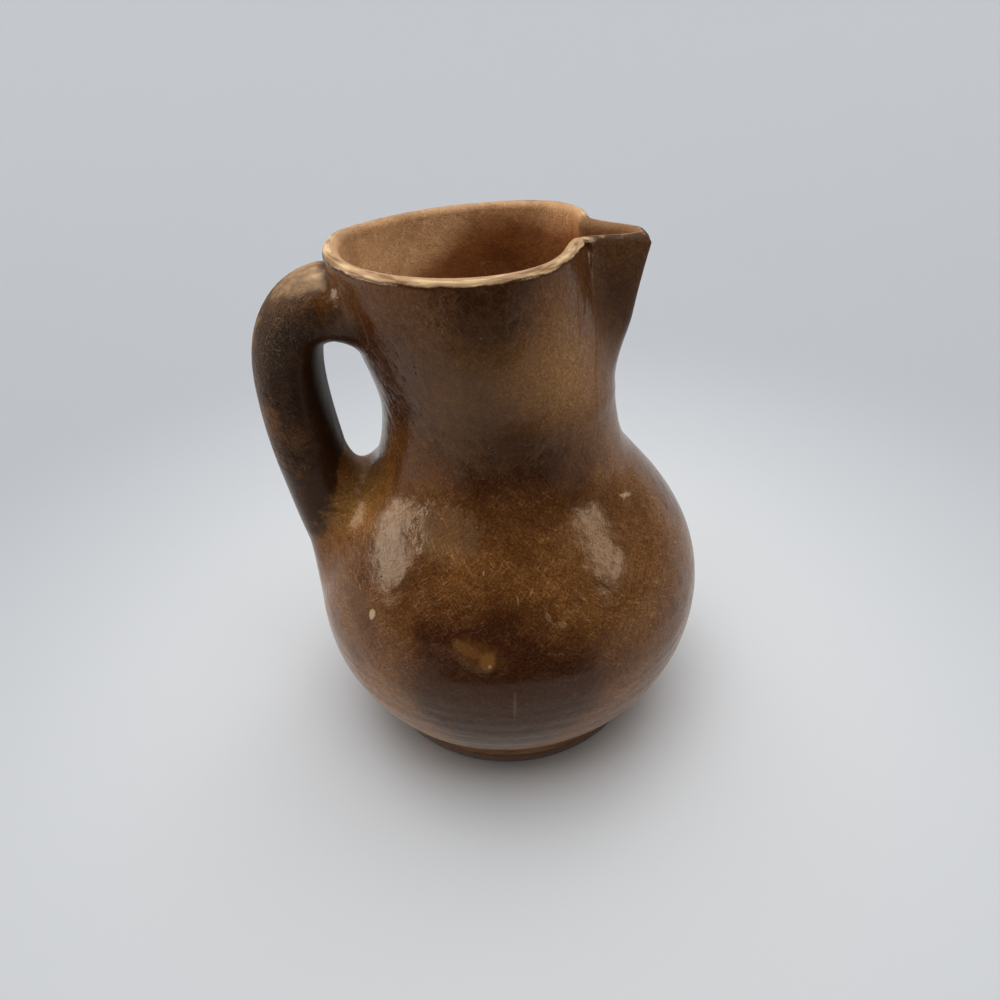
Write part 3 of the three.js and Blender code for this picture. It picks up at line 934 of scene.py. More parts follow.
class Glaze(Finish):
    """Glossy honey-brown glaze, laid on in layers that follow the marks of the piece."""

    # Heights between which the belly's glaze turns into the neck's calmer one
    neck_zone = (0.088, 0.110)

    # Width and lengths of the hairlines of crazing, and the slants of the light pairs, which are partly
    # painted glints, and the dark ones
    hairline = 0.00026
    hairline_reach = (0.0034, 0.0030)
    light_slants = (54, -47)
    dark_slants = (-74, 22)

    # Width and length of the streaks of yellower clay and painted glint that run along a worn rim, level all
    # round
    streak = (0.0005, 0.011, 90)

    def __init__(self, name, colours):
        super().__init__(name)
        self.colours = colours
        self.wear, self.smoke, self.grit, self.dull = self.marks()
        self.middle = self.clouds(62, 6, 0.62, 0.2, self.moved((0.3, 0.1, 0.7)))
        self.fine = self.clouds(430, 3, 0.6)
        self.grain = self.clouds(1700, 2, 0.6)
        self.high = self.ease(self.axes()["Z"], *self.neck_zone)
        light = self.crossed(self.light_slants)
        # The light hairlines are pale crazing and partly painted glints
        self.cracks = self.times(light, self.ease(self.middle, 0.36, 0.56, 0.3, 1.0))
        self.crust = self.times(self.grit, self.ease(self.plus(self.fine, self.grit), 0.55, 0.95))
        self.holes = self.specks(330, 0.84, 0.05, 0.12, self.moved((0.2, 0.4, 0.1)))
        self.ragged = self.plus(self.wear, self.swing(self.clouds(210, 4, 0.62), 0.8))

    def crossed(self, slants):
        """Hairlines that cross each other on two slants."""
        first, second = [self.strokes(self.hairline, reach, slant)
                         for reach, slant in zip(self.hairline_reach, slants)]
        return self.ease(self.most(first, second), 0.60, 0.68)

    def mottled(self):
        """The glaze's colour: mottled, calmer on the neck, lighter or darker by place, with painted shade in
        the front crease and a painted dark reflection low on the belly.
        """
        broad = self.clouds(17, 5, 0.6, 0.4)
        tone = self.plus(self.times(broad, 0.55), self.times(self.middle, 0.45))
        calm = self.minus(1.0, self.times(self.high, 0.55))
        tone = self.plus(self.swing(tone, calm), 0.5)
        tone = self.minus(tone, self.times(self.high, 0.09))
        tone = self.plus(tone, self.swing(self.fine, 0.16))
        for centre, reach, more in GLAZE_TONE_AND_SHADE:
            tone = self.plus(tone, self.times(self.spot(centre, reach), more))
        tints = self.colours
        body = self.tones(tone, ((0.30, tints.umber), (0.44, tints.brown),
                                 (0.57, tints.honey), (0.76, tints.ochre)))
        body = self.over(self.ease(self.grain, 0.50, 0.70, 0.0, 0.6), body, (1.9, 1.95, 2.2), "MULTIPLY")
        return self.over(self.ease(self.grain, 0.50, 0.32, 0.0, 0.6), body, (0.50, 0.47, 0.40), "MULTIPLY")

    def crazed(self, body, strength):
        """Dark and light crazing, fainter on the neck; the light hairlines are partly painted glints."""
        share = self.times(self.minus(1.0, self.times(self.high, 0.7)), strength)
        dark = self.crossed(self.dark_slants)
        body = self.over(self.times(dark, share), body, (0.42, 0.40, 0.36), "MULTIPLY")
        return self.over(self.times(self.cracks, share), body, (2.2, 2.5, 3.4), "MULTIPLY")

    def scarred(self, body, scars):
        """Chips, drips and scratches, with the places where they lie."""
        loose = self.swing(self.clouds(420, 3, 0.6), 1.3)
        places = None
        for centre, sizes, turned_by, tint, share in scars:
            scar = self.scar(centre, sizes, turned_by, loose)
            body = self.over(self.times(scar, share), body, getattr(self.colours, tint))
            places = scar if places is None else self.most(places, scar)
        return body, places

    def smoked(self, body):
        """Patchy soot and sandy crust, as far as the marks say."""
        patchy = self.swing(self.clouds(150, 6, 0.68, 0.5), 2.6)
        soot = self.ease(self.plus(self.smoke, patchy), 0.10, 0.85)
        soot = self.times(soot, self.ease(self.smoke, 0.0, 0.18))
        body = self.over(self.times(soot, 0.93), body, self.colours.smoke)
        sandy = self.times(self.crust, self.ease(self.grain, 0.40, 0.62, 0.25, 0.95))
        return self.over(sandy, body, self.colours.grit)

    def specked(self, body):
        """Pale dust, sand on the crust and dark pinholes."""
        dust = self.specks(700, 0.90, 0.06, 0.16)
        body = self.over(self.times(dust, 0.30), body, self.colours.dust)
        sand = self.times(self.ease(self.clouds(1500, 2, 0.6), 0.56, 0.68), self.grit)
        body = self.over(self.times(sand, 0.30), body, self.colours.worn)
        return self.over(self.times(self.holes, 0.8), body, self.colours.smoke)

    def worn(self, body, bare, streaked):
        """Bare clay where the glaze is worn off, in patches or in streaks that carry painted glints, with a
        dark edge round it.
        """
        edge = self.times(self.ease(self.ragged, 0.16, 0.36), self.ease(self.wear, 0.0, 0.06))
        body = self.over(self.times(edge, 0.80), body, self.colours.umber)
        # Streaked, the yellow clay is partly painted glint along the rim
        patches = self.strokes(*self.streak) if streaked else self.clouds(80, 4, 0.65)
        clay = self.over(self.ease(patches, 0.52, 0.66), self.colours.worn, self.colours.gilt)
        clay = self.over(self.ease(patches, 0.48, 0.34, 0.0, 0.65), clay, self.colours.honey)
        return self.over(bare, body, clay)

    def gloss(self, bare):
        """Roughness: low on clean glaze, higher where it is bare, dull or crusted."""
        rough = self.plus(self.ease(self.middle, 0.3, 0.7, 0.05, 0.12), self.times(bare, 0.5))
        rough = self.plus(rough, self.times(self.dull, 0.3))
        return self.plus(rough, self.times(self.crust, 0.4), True)

    def relief(self, bare, places):
        """Height fields of the surface, each with its depth in metres."""
        layers = [(self.clouds(48, 3, 0.5), 0.0010), (self.clouds(150, 2, 0.5), 0.00022),
                  (self.fine, 0.00007), (self.times(self.cracks, -1.0), 0.00003), (self.grain, 0.000014),
                  (self.times(self.holes, -1.0), 0.0002), (self.times(bare, self.fine), 0.00025),
                  (self.times(self.crust, self.grain), 0.0011)]
        if places is not None:
            layers.append((places, 0.00016))
        return layers


def glaze(name, colours, scars=(), bend=1.36, crazed=0.55, soft=0.07, streaked=False):
    """Glaze with its scars, index of refraction and crazing, and with soft worn places or worn places
    streaked with painted glints.
    """
    f = Glaze(name, colours)
    body, places = f.scarred(f.crazed(f.mottled(), crazed), scars)
    bare = f.ease(f.ragged, 0.53 - soft, 0.53 + soft)
    body = f.worn(f.specked(f.smoked(body)), bare, streaked)
    f.join(body, f.shader.inputs["Base Color"])
    f.join(f.gloss(bare), f.shader.inputs["Roughness"])
    f.shader.inputs["IOR"].default_value = bend
    f.shader.inputs["Specular Tint"].default_value = (*WARM, 1.0)
    f.bumps(f.relief(bare, places))
    return f.material


def inside_clay(name, colours):
    """Matt sandy clay of the inside, paler under the rim and further down on the left wall, darker below,
    brown in the beak.
    """
    f = Finish(name)
    wear, smoke = f.marks()[:2]
    axes = f.axes()
    broad = f.clouds(26, 4, 0.55)
    middle = f.clouds(85, 6, 0.65)
    fine = f.clouds(520, 4, 0.7)
    grain = f.clouds(2100, 2, 0.5)
    # Paler higher up, further down on the left wall, and darker towards the bottom
    dusty = f.ease(axes["X"], -0.034, 0.0, 0.017, 0.0)
    down = f.plus(f.plus(axes["Z"], dusty), f.swing(broad, 0.016))
    body = f.over(f.ease(down, 0.1395, 0.1500), colours.deep, colours.inner)
    body = f.over(smoke, body, colours.brown)
    body = f.over(f.ease(middle, 0.55, 0.36, 0.0, 0.5), body, (0.55, 0.48, 0.42), "MULTIPLY")
    body = f.over(f.ease(fine, 0.5, 0.72, 0.0, 0.6), body, (1.6, 1.65, 1.8), "MULTIPLY")
    body = f.over(f.ease(grain, 0.46, 0.30, 0.0, 0.45), body, colours.brown)
    body = f.over(f.times(f.specks(900, 0.82, 0.10, 0.24), 0.25), body, colours.dust)
    body = f.over(f.times(f.specks(520, 0.86, 0.06, 0.14), 0.7), body, colours.umber)
    bare = f.ease(f.plus(wear, f.swing(f.clouds(210, 4, 0.62), 0.8)), 0.30, 0.80)
    clay = f.over(f.ease(f.clouds(70, 3, 0.6), 0.54, 0.70), colours.worn, colours.gilt)
    clay = f.over(f.ease(f.clouds(95, 5, 0.7), 0.50, 0.30, 0.0, 0.7), clay, colours.honey)
    f.join(f.over(bare, body, clay), f.shader.inputs["Base Color"])
    f.join(f.ease(middle, 0.3, 0.7, 0.42, 0.7), f.shader.inputs["Roughness"])
    f.shader.inputs["IOR"].default_value = 1.28
    f.bumps(((broad, 0.0014), (middle, 0.0006), (fine, 0.00025), (grain, 0.00012)))
    return f.material


def foot_clay_and_shade(name, colours):
    """Bare, scuffed clay of the foot, kept dark as painted shade where the pitcher meets the floor."""
    f = Finish(name)
    middle = f.clouds(90, 6, 0.65)
    fine = f.clouds(650, 4, 0.7)
    body = f.over(f.ease(middle, 0.35, 0.65, 0.0, 0.35), colours.foot, colours.brown)
    body = f.over(f.ease(fine, 0.55, 0.35, 0.0, 0.6), body, colours.umber)
    body = f.over(f.times(f.specks(900, 0.8, 0.1, 0.24), 0.4), body, colours.dust)
    f.join(body, f.shader.inputs["Base Color"])
    f.join(f.ease(fine, 0.3, 0.7, 0.55, 0.85), f.shader.inputs["Roughness"])
    f.bumps(((middle, 0.0008), (fine, 0.0004)))
    return f.material


# Pieces


def belly_finishes(colours):
    """Glaze for the outside of the belly and the crease, and bare clay for their inside."""
    return [glaze("honey_glaze", colours, BELLY_SCARS_AND_HIGHLIGHTS), inside_clay("inside_clay", colours)]


class PITCHER_OT_foot(bpy.types.Operator):
    """Turn the flat foot with its low rounded edge"""

    bl_idname = "pitcher.foot"
    bl_label = "Foot"

    def execute(self, context):
        form = PitcherForm(context.scene.pitcher_sizes)
        colours = context.scene.pitcher_colours
        edge, soft, half = form.foot_radius, form.foot_round, form.foot_height / 2
        line = [(0, 0), (edge * 0.5, 0), (edge - 3 * soft, 0)]
        for step in range(11):
            angle = math.radians(-90 + 18 * step)
            line.append((edge - soft + soft * math.cos(angle), half + half * math.sin(angle)))
        line += [(edge - 4 * soft, form.foot_height), (0, form.foot_height)]
        piece = turned("foot", line, 192, False)
        finish_piece(piece, form, "bare_clay", ["foot_disc"], [foot_clay_and_shade("bare_clay", colours)], lambda c: 0)
        return {"FINISHED"}


class PITCHER_OT_belly(bpy.types.Operator):
    """Turn the round belly with its throwing rings"""

    bl_idname = "pitcher.belly"
    bl_label = "Belly"

    # How far inside the foot's edge the underside ends, and how far under the floor the inside may start
    underside_inset = 0.0022
    floor_slack = 0.0005

    def execute(self, context):
        form = PitcherForm(context.scene.pitcher_sizes)
        foot = form.foot_height
        line = [(0, foot), (form.foot_radius * 0.6, foot), (form.foot_radius - self.underside_inset, foot)]
        outer = [p for p in form.outline if p.y <= form.crease_low + LEVEL_SLACK]
        line += [(p.x + self.ring(form, p.y), p.y) for p in evenly(outer, 0.0009)]
        inner = [p for p in form.hollow if p.y < form.crease_low]
        inner.append(Vector((form.hollow_radius(form.crease_low), form.crease_low)))
        line += [(p.x, p.y) for p in reversed(inner)]
        line += [(inner[0].x * 0.5, form.floor_height), (0, form.floor_height)]
        piece = turned("round_belly", line, 216, False)
        mark(piece, lambda p: (0.0, 0.0, 0.0, BELLY_DULL))
        bottom = form.floor_height - self.floor_slack
        finishes = belly_finishes(context.scene.pitcher_colours)
        finish_piece(piece, form, "honey_glaze", ["belly"], finishes,
                     lambda c: int(c.z > bottom and form.is_inside(c)))
        return {"FINISHED"}

    @staticmethod
    def ring(form, z):
        """Depth of the throwing rings at a height, deeper near the heel."""
        low = smooth(z, 0.0045, 0.009) * (1 - smooth(z, 0.03, 0.05))
        high = 0.45 * smooth(z, 0.03, 0.045) * (1 - smooth(z, 0.07, 0.083))
        wave = math.sin(z * 1250 + 1.3 * math.sin(z * 320)) + 0.5 * math.sin(z * 2300 + 0.7)
        return form.ring_depth * (low + high) * wave


class PITCHER_OT_crease(bpy.types.Operator):
    """Work the ring of soft clay into the crease between belly and neck"""

    bl_idname = "pitcher.crease"
    bl_label = "Neck crease"

    def execute(self, context):
        form = PitcherForm(context.scene.pitcher_sizes)
        low, top = form.crease_low, form.crease_top
        outer = [p for p in form.outline if low - LEVEL_SLACK <= p.y <= top + LEVEL_SLACK]
        line = [(p.x, p.y) for p in evenly(outer, 0.0007)]
        levels = [blend(top, low, i / 10) for i in range(11)]
        line += [(form.hollow_radius(z), z) for z in levels]
        piece = turned("neck_crease", line, 216, True)
        mark(piece, lambda p: (0.0, 0.0, 0.0, blend(BELLY_DULL, NECK_DULL, smooth(p.z, low, top))))
        finishes = belly_finishes(context.scene.pitcher_colours)
        finish_piece(piece, form, "honey_glaze", ["neck_lute"], finishes, lambda c: int(form.is_inside(c)))
        return {"FINISHED"}


class PITCHER_OT_neck(bpy.types.Operator):
    """Turn the neck, press the folds and draw out the beak, with the soft clay in its valleys"""

    bl_idname = "pitcher.neck"
    bl_label = "Neck and beak"

    # Shares of the rim's wear inside the neck and on the beak
    inside_wear = 0.5
    beak_wear = 0.46

    # Marks of the beak: smoke on its flanks and in its channel, grit and dullness
    beak_smoke = 0.06
    channel_smoke = 0.65
    beak_grit = 0.14
    beak_dull = 1.5

    def execute(self, context):
        form = PitcherForm(context.scene.pitcher_sizes)
        colours = context.scene.pitcher_colours
        collar = turned("flared_neck", self.wall_line(form), 480, True)
        lute, beak = self.cut_beak(form, collar)
        finishes = [glaze("neck_glaze", colours, NECK_SCARS_AND_SHEEN, soft=0.13, streaked=True),
                    inside_clay("inside_clay", colours)]
        for piece, slot, node in ((collar, "worn_glaze", "neck_collar"), (beak, "honey_glaze", "beak"),
                                  (lute, "worn_glaze", "beak_lute")):
            picks = iter([int(self.share(form, face.center) > 0.5) for face in piece.data.polygons])
            mark(piece, lambda p: self.marks(form, p))
            shape(piece, form.pressed)
            finish_piece(piece, form, slot, [node], finishes, lambda c: next(picks))
        match_shading((collar, beak, lute))
        return {"FINISHED"}

    @staticmethod
    def wall_line(form):
        """Closed outline of the neck's wall: up its outside, round the rim and down its inside."""
        foot = form.beak_foot
        levels = [blend(form.crease_top, foot, i / 8) for i in range(8)]
        levels += [blend(foot, form.rim_level, i / 27) for i in range(28)]
        line = [(form.turned_radius(z), z) for z in levels]
        half = form.neck_wall / 2
        middle = form.turned_radius(form.rim_level) - half
        for step in range(1, 14):
            angle = math.pi * step / 14
            line.append((middle + half * math.cos(angle), form.rim_level + half * math.sin(angle)))
        return line + [(form.turned_radius(z) - form.neck_wall, z) for z in reversed(levels)]

    @staticmethod
    def cut_beak(form, collar):
        """Cuts the valleys' soft clay and the beak off the turned neck, and closes all the cuts."""
        foot, seam, strip = form.beak_foot, form.beak_seam, form.valley_strip

        def around(point):
            return math.atan2(point.y, point.x)

        def cut_at(angle):
            return lambda v: abs(around(v) - angle) < 1e-3 and v.z > foot - 1e-5

        def ledge(side):
            return lambda v: abs(v.z - foot) < 1e-5 and (side == 0 or around(v) * side > 0)

        lute = cut_off(collar, "beak_valleys", lambda c: c.z > foot and abs(abs(around(c)) - seam) < strip)
        beak = cut_off(collar, "folded_beak", lambda c: c.z > foot and abs(around(c)) < seam)
        outer, inner = seam + strip, seam - strip
        close_cuts(collar, [cut_at(-outer), cut_at(outer), ledge(0)])
        close_cuts(beak, [cut_at(-inner), cut_at(inner), ledge(0)])
        close_cuts(lute, [cut_at(-outer), cut_at(-inner), ledge(-1), cut_at(outer), cut_at(inner), ledge(1)])
        return lute, beak

    @staticmethod
    def share(form, point):
        """How far through the turned wall a point lies, 0 outside and 1 inside."""
        level = min(point.z, form.rim_level)
        return (form.turned_radius(level) - math.hypot(point.x, point.y)) / form.neck_wall

    def marks(self, form, point):
        """Wear of the rim, less on the beak, whose flanks are duller and sandier."""
        wear = smooth(point.z, form.rim_level - 0.0004, form.rim_height + 0.0003)
        smoke = self.beak_smoke
        if self.share(form, point) >= 0.5:
            wear *= self.inside_wear
            smoke = self.channel_smoke
        beside = smooth(abs(math.atan2(point.y, point.x)), math.radians(34), math.radians(52))
        drawn = (1 - beside) * smooth(point.z, form.beak_foot + 0.004, form.rim_level - 0.004)
        return (wear * blend(self.beak_wear, 1.0, beside), smoke * drawn,
                self.beak_grit * drawn, blend(NECK_DULL, self.beak_dull, drawn))


class PITCHER_OT_handle(bpy.types.Operator):
    """Pull the strap of the handle and thumb both its ends onto the pitcher"""

    bl_idname = "pitcher.handle"
    bl_label = "Handle"

    # Points round the strap, rings along it, and steps in which its ends are followed to the pitcher
    ring_points = 56
    strap_rings = 44
    trail_steps = 160

    # The middle line: how deep its ends lie in the neck and the belly, and its pulls in radius and height
    top_sunk = 0.0078
    tail_sunk = 0.0115
    upper_pull = (0.0265, 0.0096)
    lower_pull = (0.020, -0.019)

    # The section: how far it narrows along the tail, and its fullness, where 2 would be an oval
    tail_taper = 0.25
    fullness = 2.5

    # Reach of the clay thumbed onto the pitcher: from the strap's outer face, its inner face and its edges
    upper_flare = (0.0024, 0.0038, 0.0085)
    lower_flare = (0.0120, 0.0150, 0.0085)

    # That clay's edge: how far under the rim it stays, how far it runs on, and how deep it dips
    rim_clear = 0.0025
    edge_out = 0.0008
    edge_sunk = 0.0010

    # The joint's hidden end: its depth under the pitcher's skin, and where its rings lie on the way in
    skin_sunk = 0.0015
    skin_shares = (0.2, 0.4, 0.6, 0.8, 0.95)

    def execute(self, context):
        form = PitcherForm(context.scene.pitcher_sizes)
        self.form = form
        self.pull_line()
        upper = form.upper_lute / self.length
        lower = 1 - form.lower_lute / self.length
        dark = [glaze("dark_glaze", context.scene.pitcher_colours, bend=1.30, crazed=0.3, soft=0.3)]
        rings = self.strap_rings
        strap = drawn_tube("pulled_strap", self.ring_points, rings)
        self.raw(strap, lambda angle, ring: self.section(blend(upper, lower, ring / rings), angle),
                 lambda angle, ring: self.strap_marks(ring / rings, angle))
        top = self.luted("handle_upper_joint", upper, 0.0, 14, 14, self.upper_flare, self.upper_marks)
        tail = self.luted("handle_lower_joint", lower, 1.0, 26, 16, self.lower_flare, self.lower_marks)
        finish_piece(strap, form, "dark_glaze", ["handle_strap"], dark, lambda c: 0)
        finish_piece(top, form, "honey_glaze", ["handle_upper_lute"], dark, lambda c: 0)
        finish_piece(tail, form, "dark_glaze", ["handle_lower_lute"], dark, lambda c: 0)
        return {"FINISHED"}

    def pull_line(self):
        """The strap's middle line in radius and height, with its length."""
        form = self.form
        top = form.rim_height - form.handle_drop
        tail = form.crease_height - form.handle_tail_drop
        neck, belly = form.turned_radius(top), form.turned_radius(tail)
        pulls = [(neck + out, top + up) for out, up in (self.upper_pull, self.lower_pull)]
        self.line = cubic(((neck - self.top_sunk, top), *pulls, (belly - self.tail_sunk, tail)), 240)
        self.far = reaches(self.line)
        self.length = self.far[-1]

    def centre(self, along):
        """Point and heading of the line at a share of its length."""
        at = kept(along, 0.0, 1.0) * self.length
        k = step_at(self.far, at)
        before, after = self.line[max(k - 3, 0)], self.line[min(k + 2, len(self.line) - 1)]
        return point_at(self.line, self.far, at), (after - before).normalized()

    def placed(self, radius, across, height):
        """A point of the handle's plane in the pitcher's frame."""
        turned_by = math.pi + self.form.handle_skew
        c, s = math.cos(turned_by), math.sin(turned_by)
        return Vector((radius * c - across * s, radius * s + across * c, height))

    def section(self, along, angle):
        """A point of the strap's rounded section."""
        form = self.form
        middle, heading = self.centre(along)
        thick = blend(form.handle_top, form.handle_tail, along) / 2
        wide = form.handle_width / 2
        late = max(0.0, along - (1 - form.lower_lute / self.length)) * self.length / form.lower_lute
        wide *= 1 - self.tail_taper * late

        def rounded(value):
            return math.copysign(abs(value) ** (2 / self.fullness), value)

        out = thick * rounded(math.cos(angle))
        across = wide * rounded(math.sin(angle))
        return self.placed(middle.x + out * heading.y, across, middle.y - out * heading.x)

    @staticmethod
    def raw(piece, at, note):
        """Shapes a plain tube by angle and ring, and notes its wear, smoke, grit and dullness."""
        spots = [(math.atan2(v.co.y, v.co.x), round(v.co.z)) for v in piece.data.vertices]
        notes = iter(spots)
        mark(piece, lambda p: note(*next(notes)))
        places = iter(spots)
        shape(piece, lambda p: at(*next(places)))

    @staticmethod
    def faces(angle):
        """How far a point of the section faces out from the pitcher, and how far in towards it."""
        return max(0.0, -math.cos(angle)), max(0.0, math.cos(angle))

    @staticmethod
    def dullness(inner):
        """Dullness of the dark glaze, more on the strap's inner face."""
        return 0.5 + 0.9 * smooth(inner, 0.3, 0.9)

    def strap_marks(self, share, angle):
        """Marks of the strap: dusty at its top, sandy on its shoulder, dark below and inside, and lighter
        along its outer face, partly wear and partly painted light.
        """
        outer, inner = self.faces(angle)
        dusty = 0.62 * (1 - smooth(outer, 0.1, 0.7))
        smoke = 0.95 * blend(dusty, 1.0, smooth(share + 0.2 * inner, 0.02, 0.28))
        smoke -= 0.55 * math.exp(-((share - 0.74) / 0.19) ** 2) * (1 - smooth(inner, 0.2, 0.7))
        # Painted light: the strap's outer face is less smoked
        smoke -= 0.5 * smooth(outer, 0.62, 0.96)
        grit = (0.30 + 0.65 * math.exp(-((share - 0.20) / 0.13) ** 2)) * (1 - smooth(inner, 0.0, 0.5))
        wear = 0.64 * (1 - smooth(share, 0.0, 0.36)) * smooth(outer, 0.25, 0.95)
        # A worn strip along the outer face, partly real wear and partly painted light
        wear = max(wear, 0.38 * smooth(outer, 0.62, 0.96))
        return wear, max(0.0, smoke), grit, self.dullness(inner)

    def upper_marks(self, share, angle):
        """Marks of the upper joint: dusty and light on top, darker underneath."""
        outer, inner = self.faces(angle)
        smoke = 0.59 * (1 - smooth(outer, 0.1, 0.7)) * (1 - smooth(share, 0.7, 1.0))
        wear = 0.64 * smooth(outer, 0.25, 0.95) * (1 - smooth(share, 0.5, 1.0))
        return wear, smoke, 0.1, self.dullness(inner) * (1 - smooth(share, 0.6, 1.0))

    def lower_marks(self, share, angle):
        """Marks of the lower joint: the dark glaze fades down into the belly's, and its outer face is
        lighter, partly wear and partly painted light.
        """
        outer, inner = self.faces(angle)
        smoke = 0.90 * (1 - smooth(share, 0.30 - 0.20 * inner, 0.98 - 0.30 * inner))
        # Painted light: the joint's outer face is less smoked, with a worn strip that is partly real wear
        smoke -= 0.30 * smooth(outer, 0.72, 1.0) * (1 - share)
        wear = 0.38 * smooth(outer, 0.62, 0.96) * (1 - share)
        return wear, max(0.0, smoke), 0.0, self.dullness(inner) * (1 - smooth(share, 0.6, 1.0))

    def luted(self, name, start, end, plain, curved, flare, marks):
        """One end of the strap, flared softly onto the pitcher's outside."""
        heart = self.heart(start, end)
        columns = []
        for i in range(self.ring_points):
            angle = math.tau * i / self.ring_points
            sides = (*self.faces(angle), abs(math.sin(angle)))
            reach = sum(most * side ** 2 for most, side in zip(flare, sides))
            columns.append(self.landing(angle, start, end, plain, curved, reach, heart))
        shown = plain + curved + 1
        piece = drawn_tube(name, self.ring_points, len(columns[0]) - 1)

        def at(angle, ring):
            return columns[round(angle / math.tau * self.ring_points) % self.ring_points][ring]

        self.raw(piece, at, lambda angle, ring: marks(min(ring / shown, 1.0), angle))
        return piece

    def heart(self, start, end):
        """The point of the pitcher's outside where the strap's middle line meets it."""
        for i in range(self.trail_steps + 1):
            middle, _ = self.centre(blend(start, end, i / self.trail_steps))
            point = self.placed(middle.x, 0, middle.y)
            if self.form.gap(point) < 0:
                return self.form.on_surface(point)
        raise RuntimeError("the handle's middle line does not meet the pitcher")

    def landing(self, angle, start, end, plain, curved, reach, heart):
        """Points of one line along the strap to where it lands on the pitcher, and under its skin."""
        form = self.form
        steps = self.trail_steps
        trail = [self.section(blend(start, end, i / steps), angle) for i in range(steps + 1)]
        hit = next((i for i, p in enumerate(trail) if form.gap(p) < 0), steps)
        if hit in (0, steps):
            raise RuntimeError("a line of the handle does not meet the pitcher")
        a, b = form.gap(trail[hit - 1]), form.gap(trail[hit])
        contact = trail[hit - 1].lerp(trail[hit], a / (a - b))
        trail = trail[:hit] + [contact]
        far = reaches(trail)
        leave = max(far[-1] - reach, far[-1] * 0.15)
        points = [point_at(trail, far, leave * i / plain) for i in range(plain + 1)]
        middle, _ = self.centre(blend(start, end, hit / steps))
        away = self.along_skin(contact - self.placed(middle.x, 0, middle.y), form.facing(contact))
        spot = contact + away * reach
        spot.z = min(spot.z, form.rim_level - self.rim_clear)
        spot = form.on_surface(spot)
        face = form.facing(spot)
        along = self.along_skin(spot - contact, face)
        pull = spot - along * reach * 0.9
        leaving = points[-1]
        for i in range(1, curved + 1):
            t = i / curved
            points.append(leaving * (1 - t) ** 2 + pull * (2 * t * (1 - t)) + spot * t * t)
        points.append(spot + along * self.edge_out - face * self.edge_sunk)
        for share in self.skin_shares:
            under = form.on_surface(spot.lerp(heart, share))
            points.append(under - form.facing(under) * self.skin_sunk)
        return points

    @staticmethod
    def along_skin(way, face):
        """The part of a way that runs along a surface, as a unit step."""
        return (way - face * way.dot(face)).normalized()


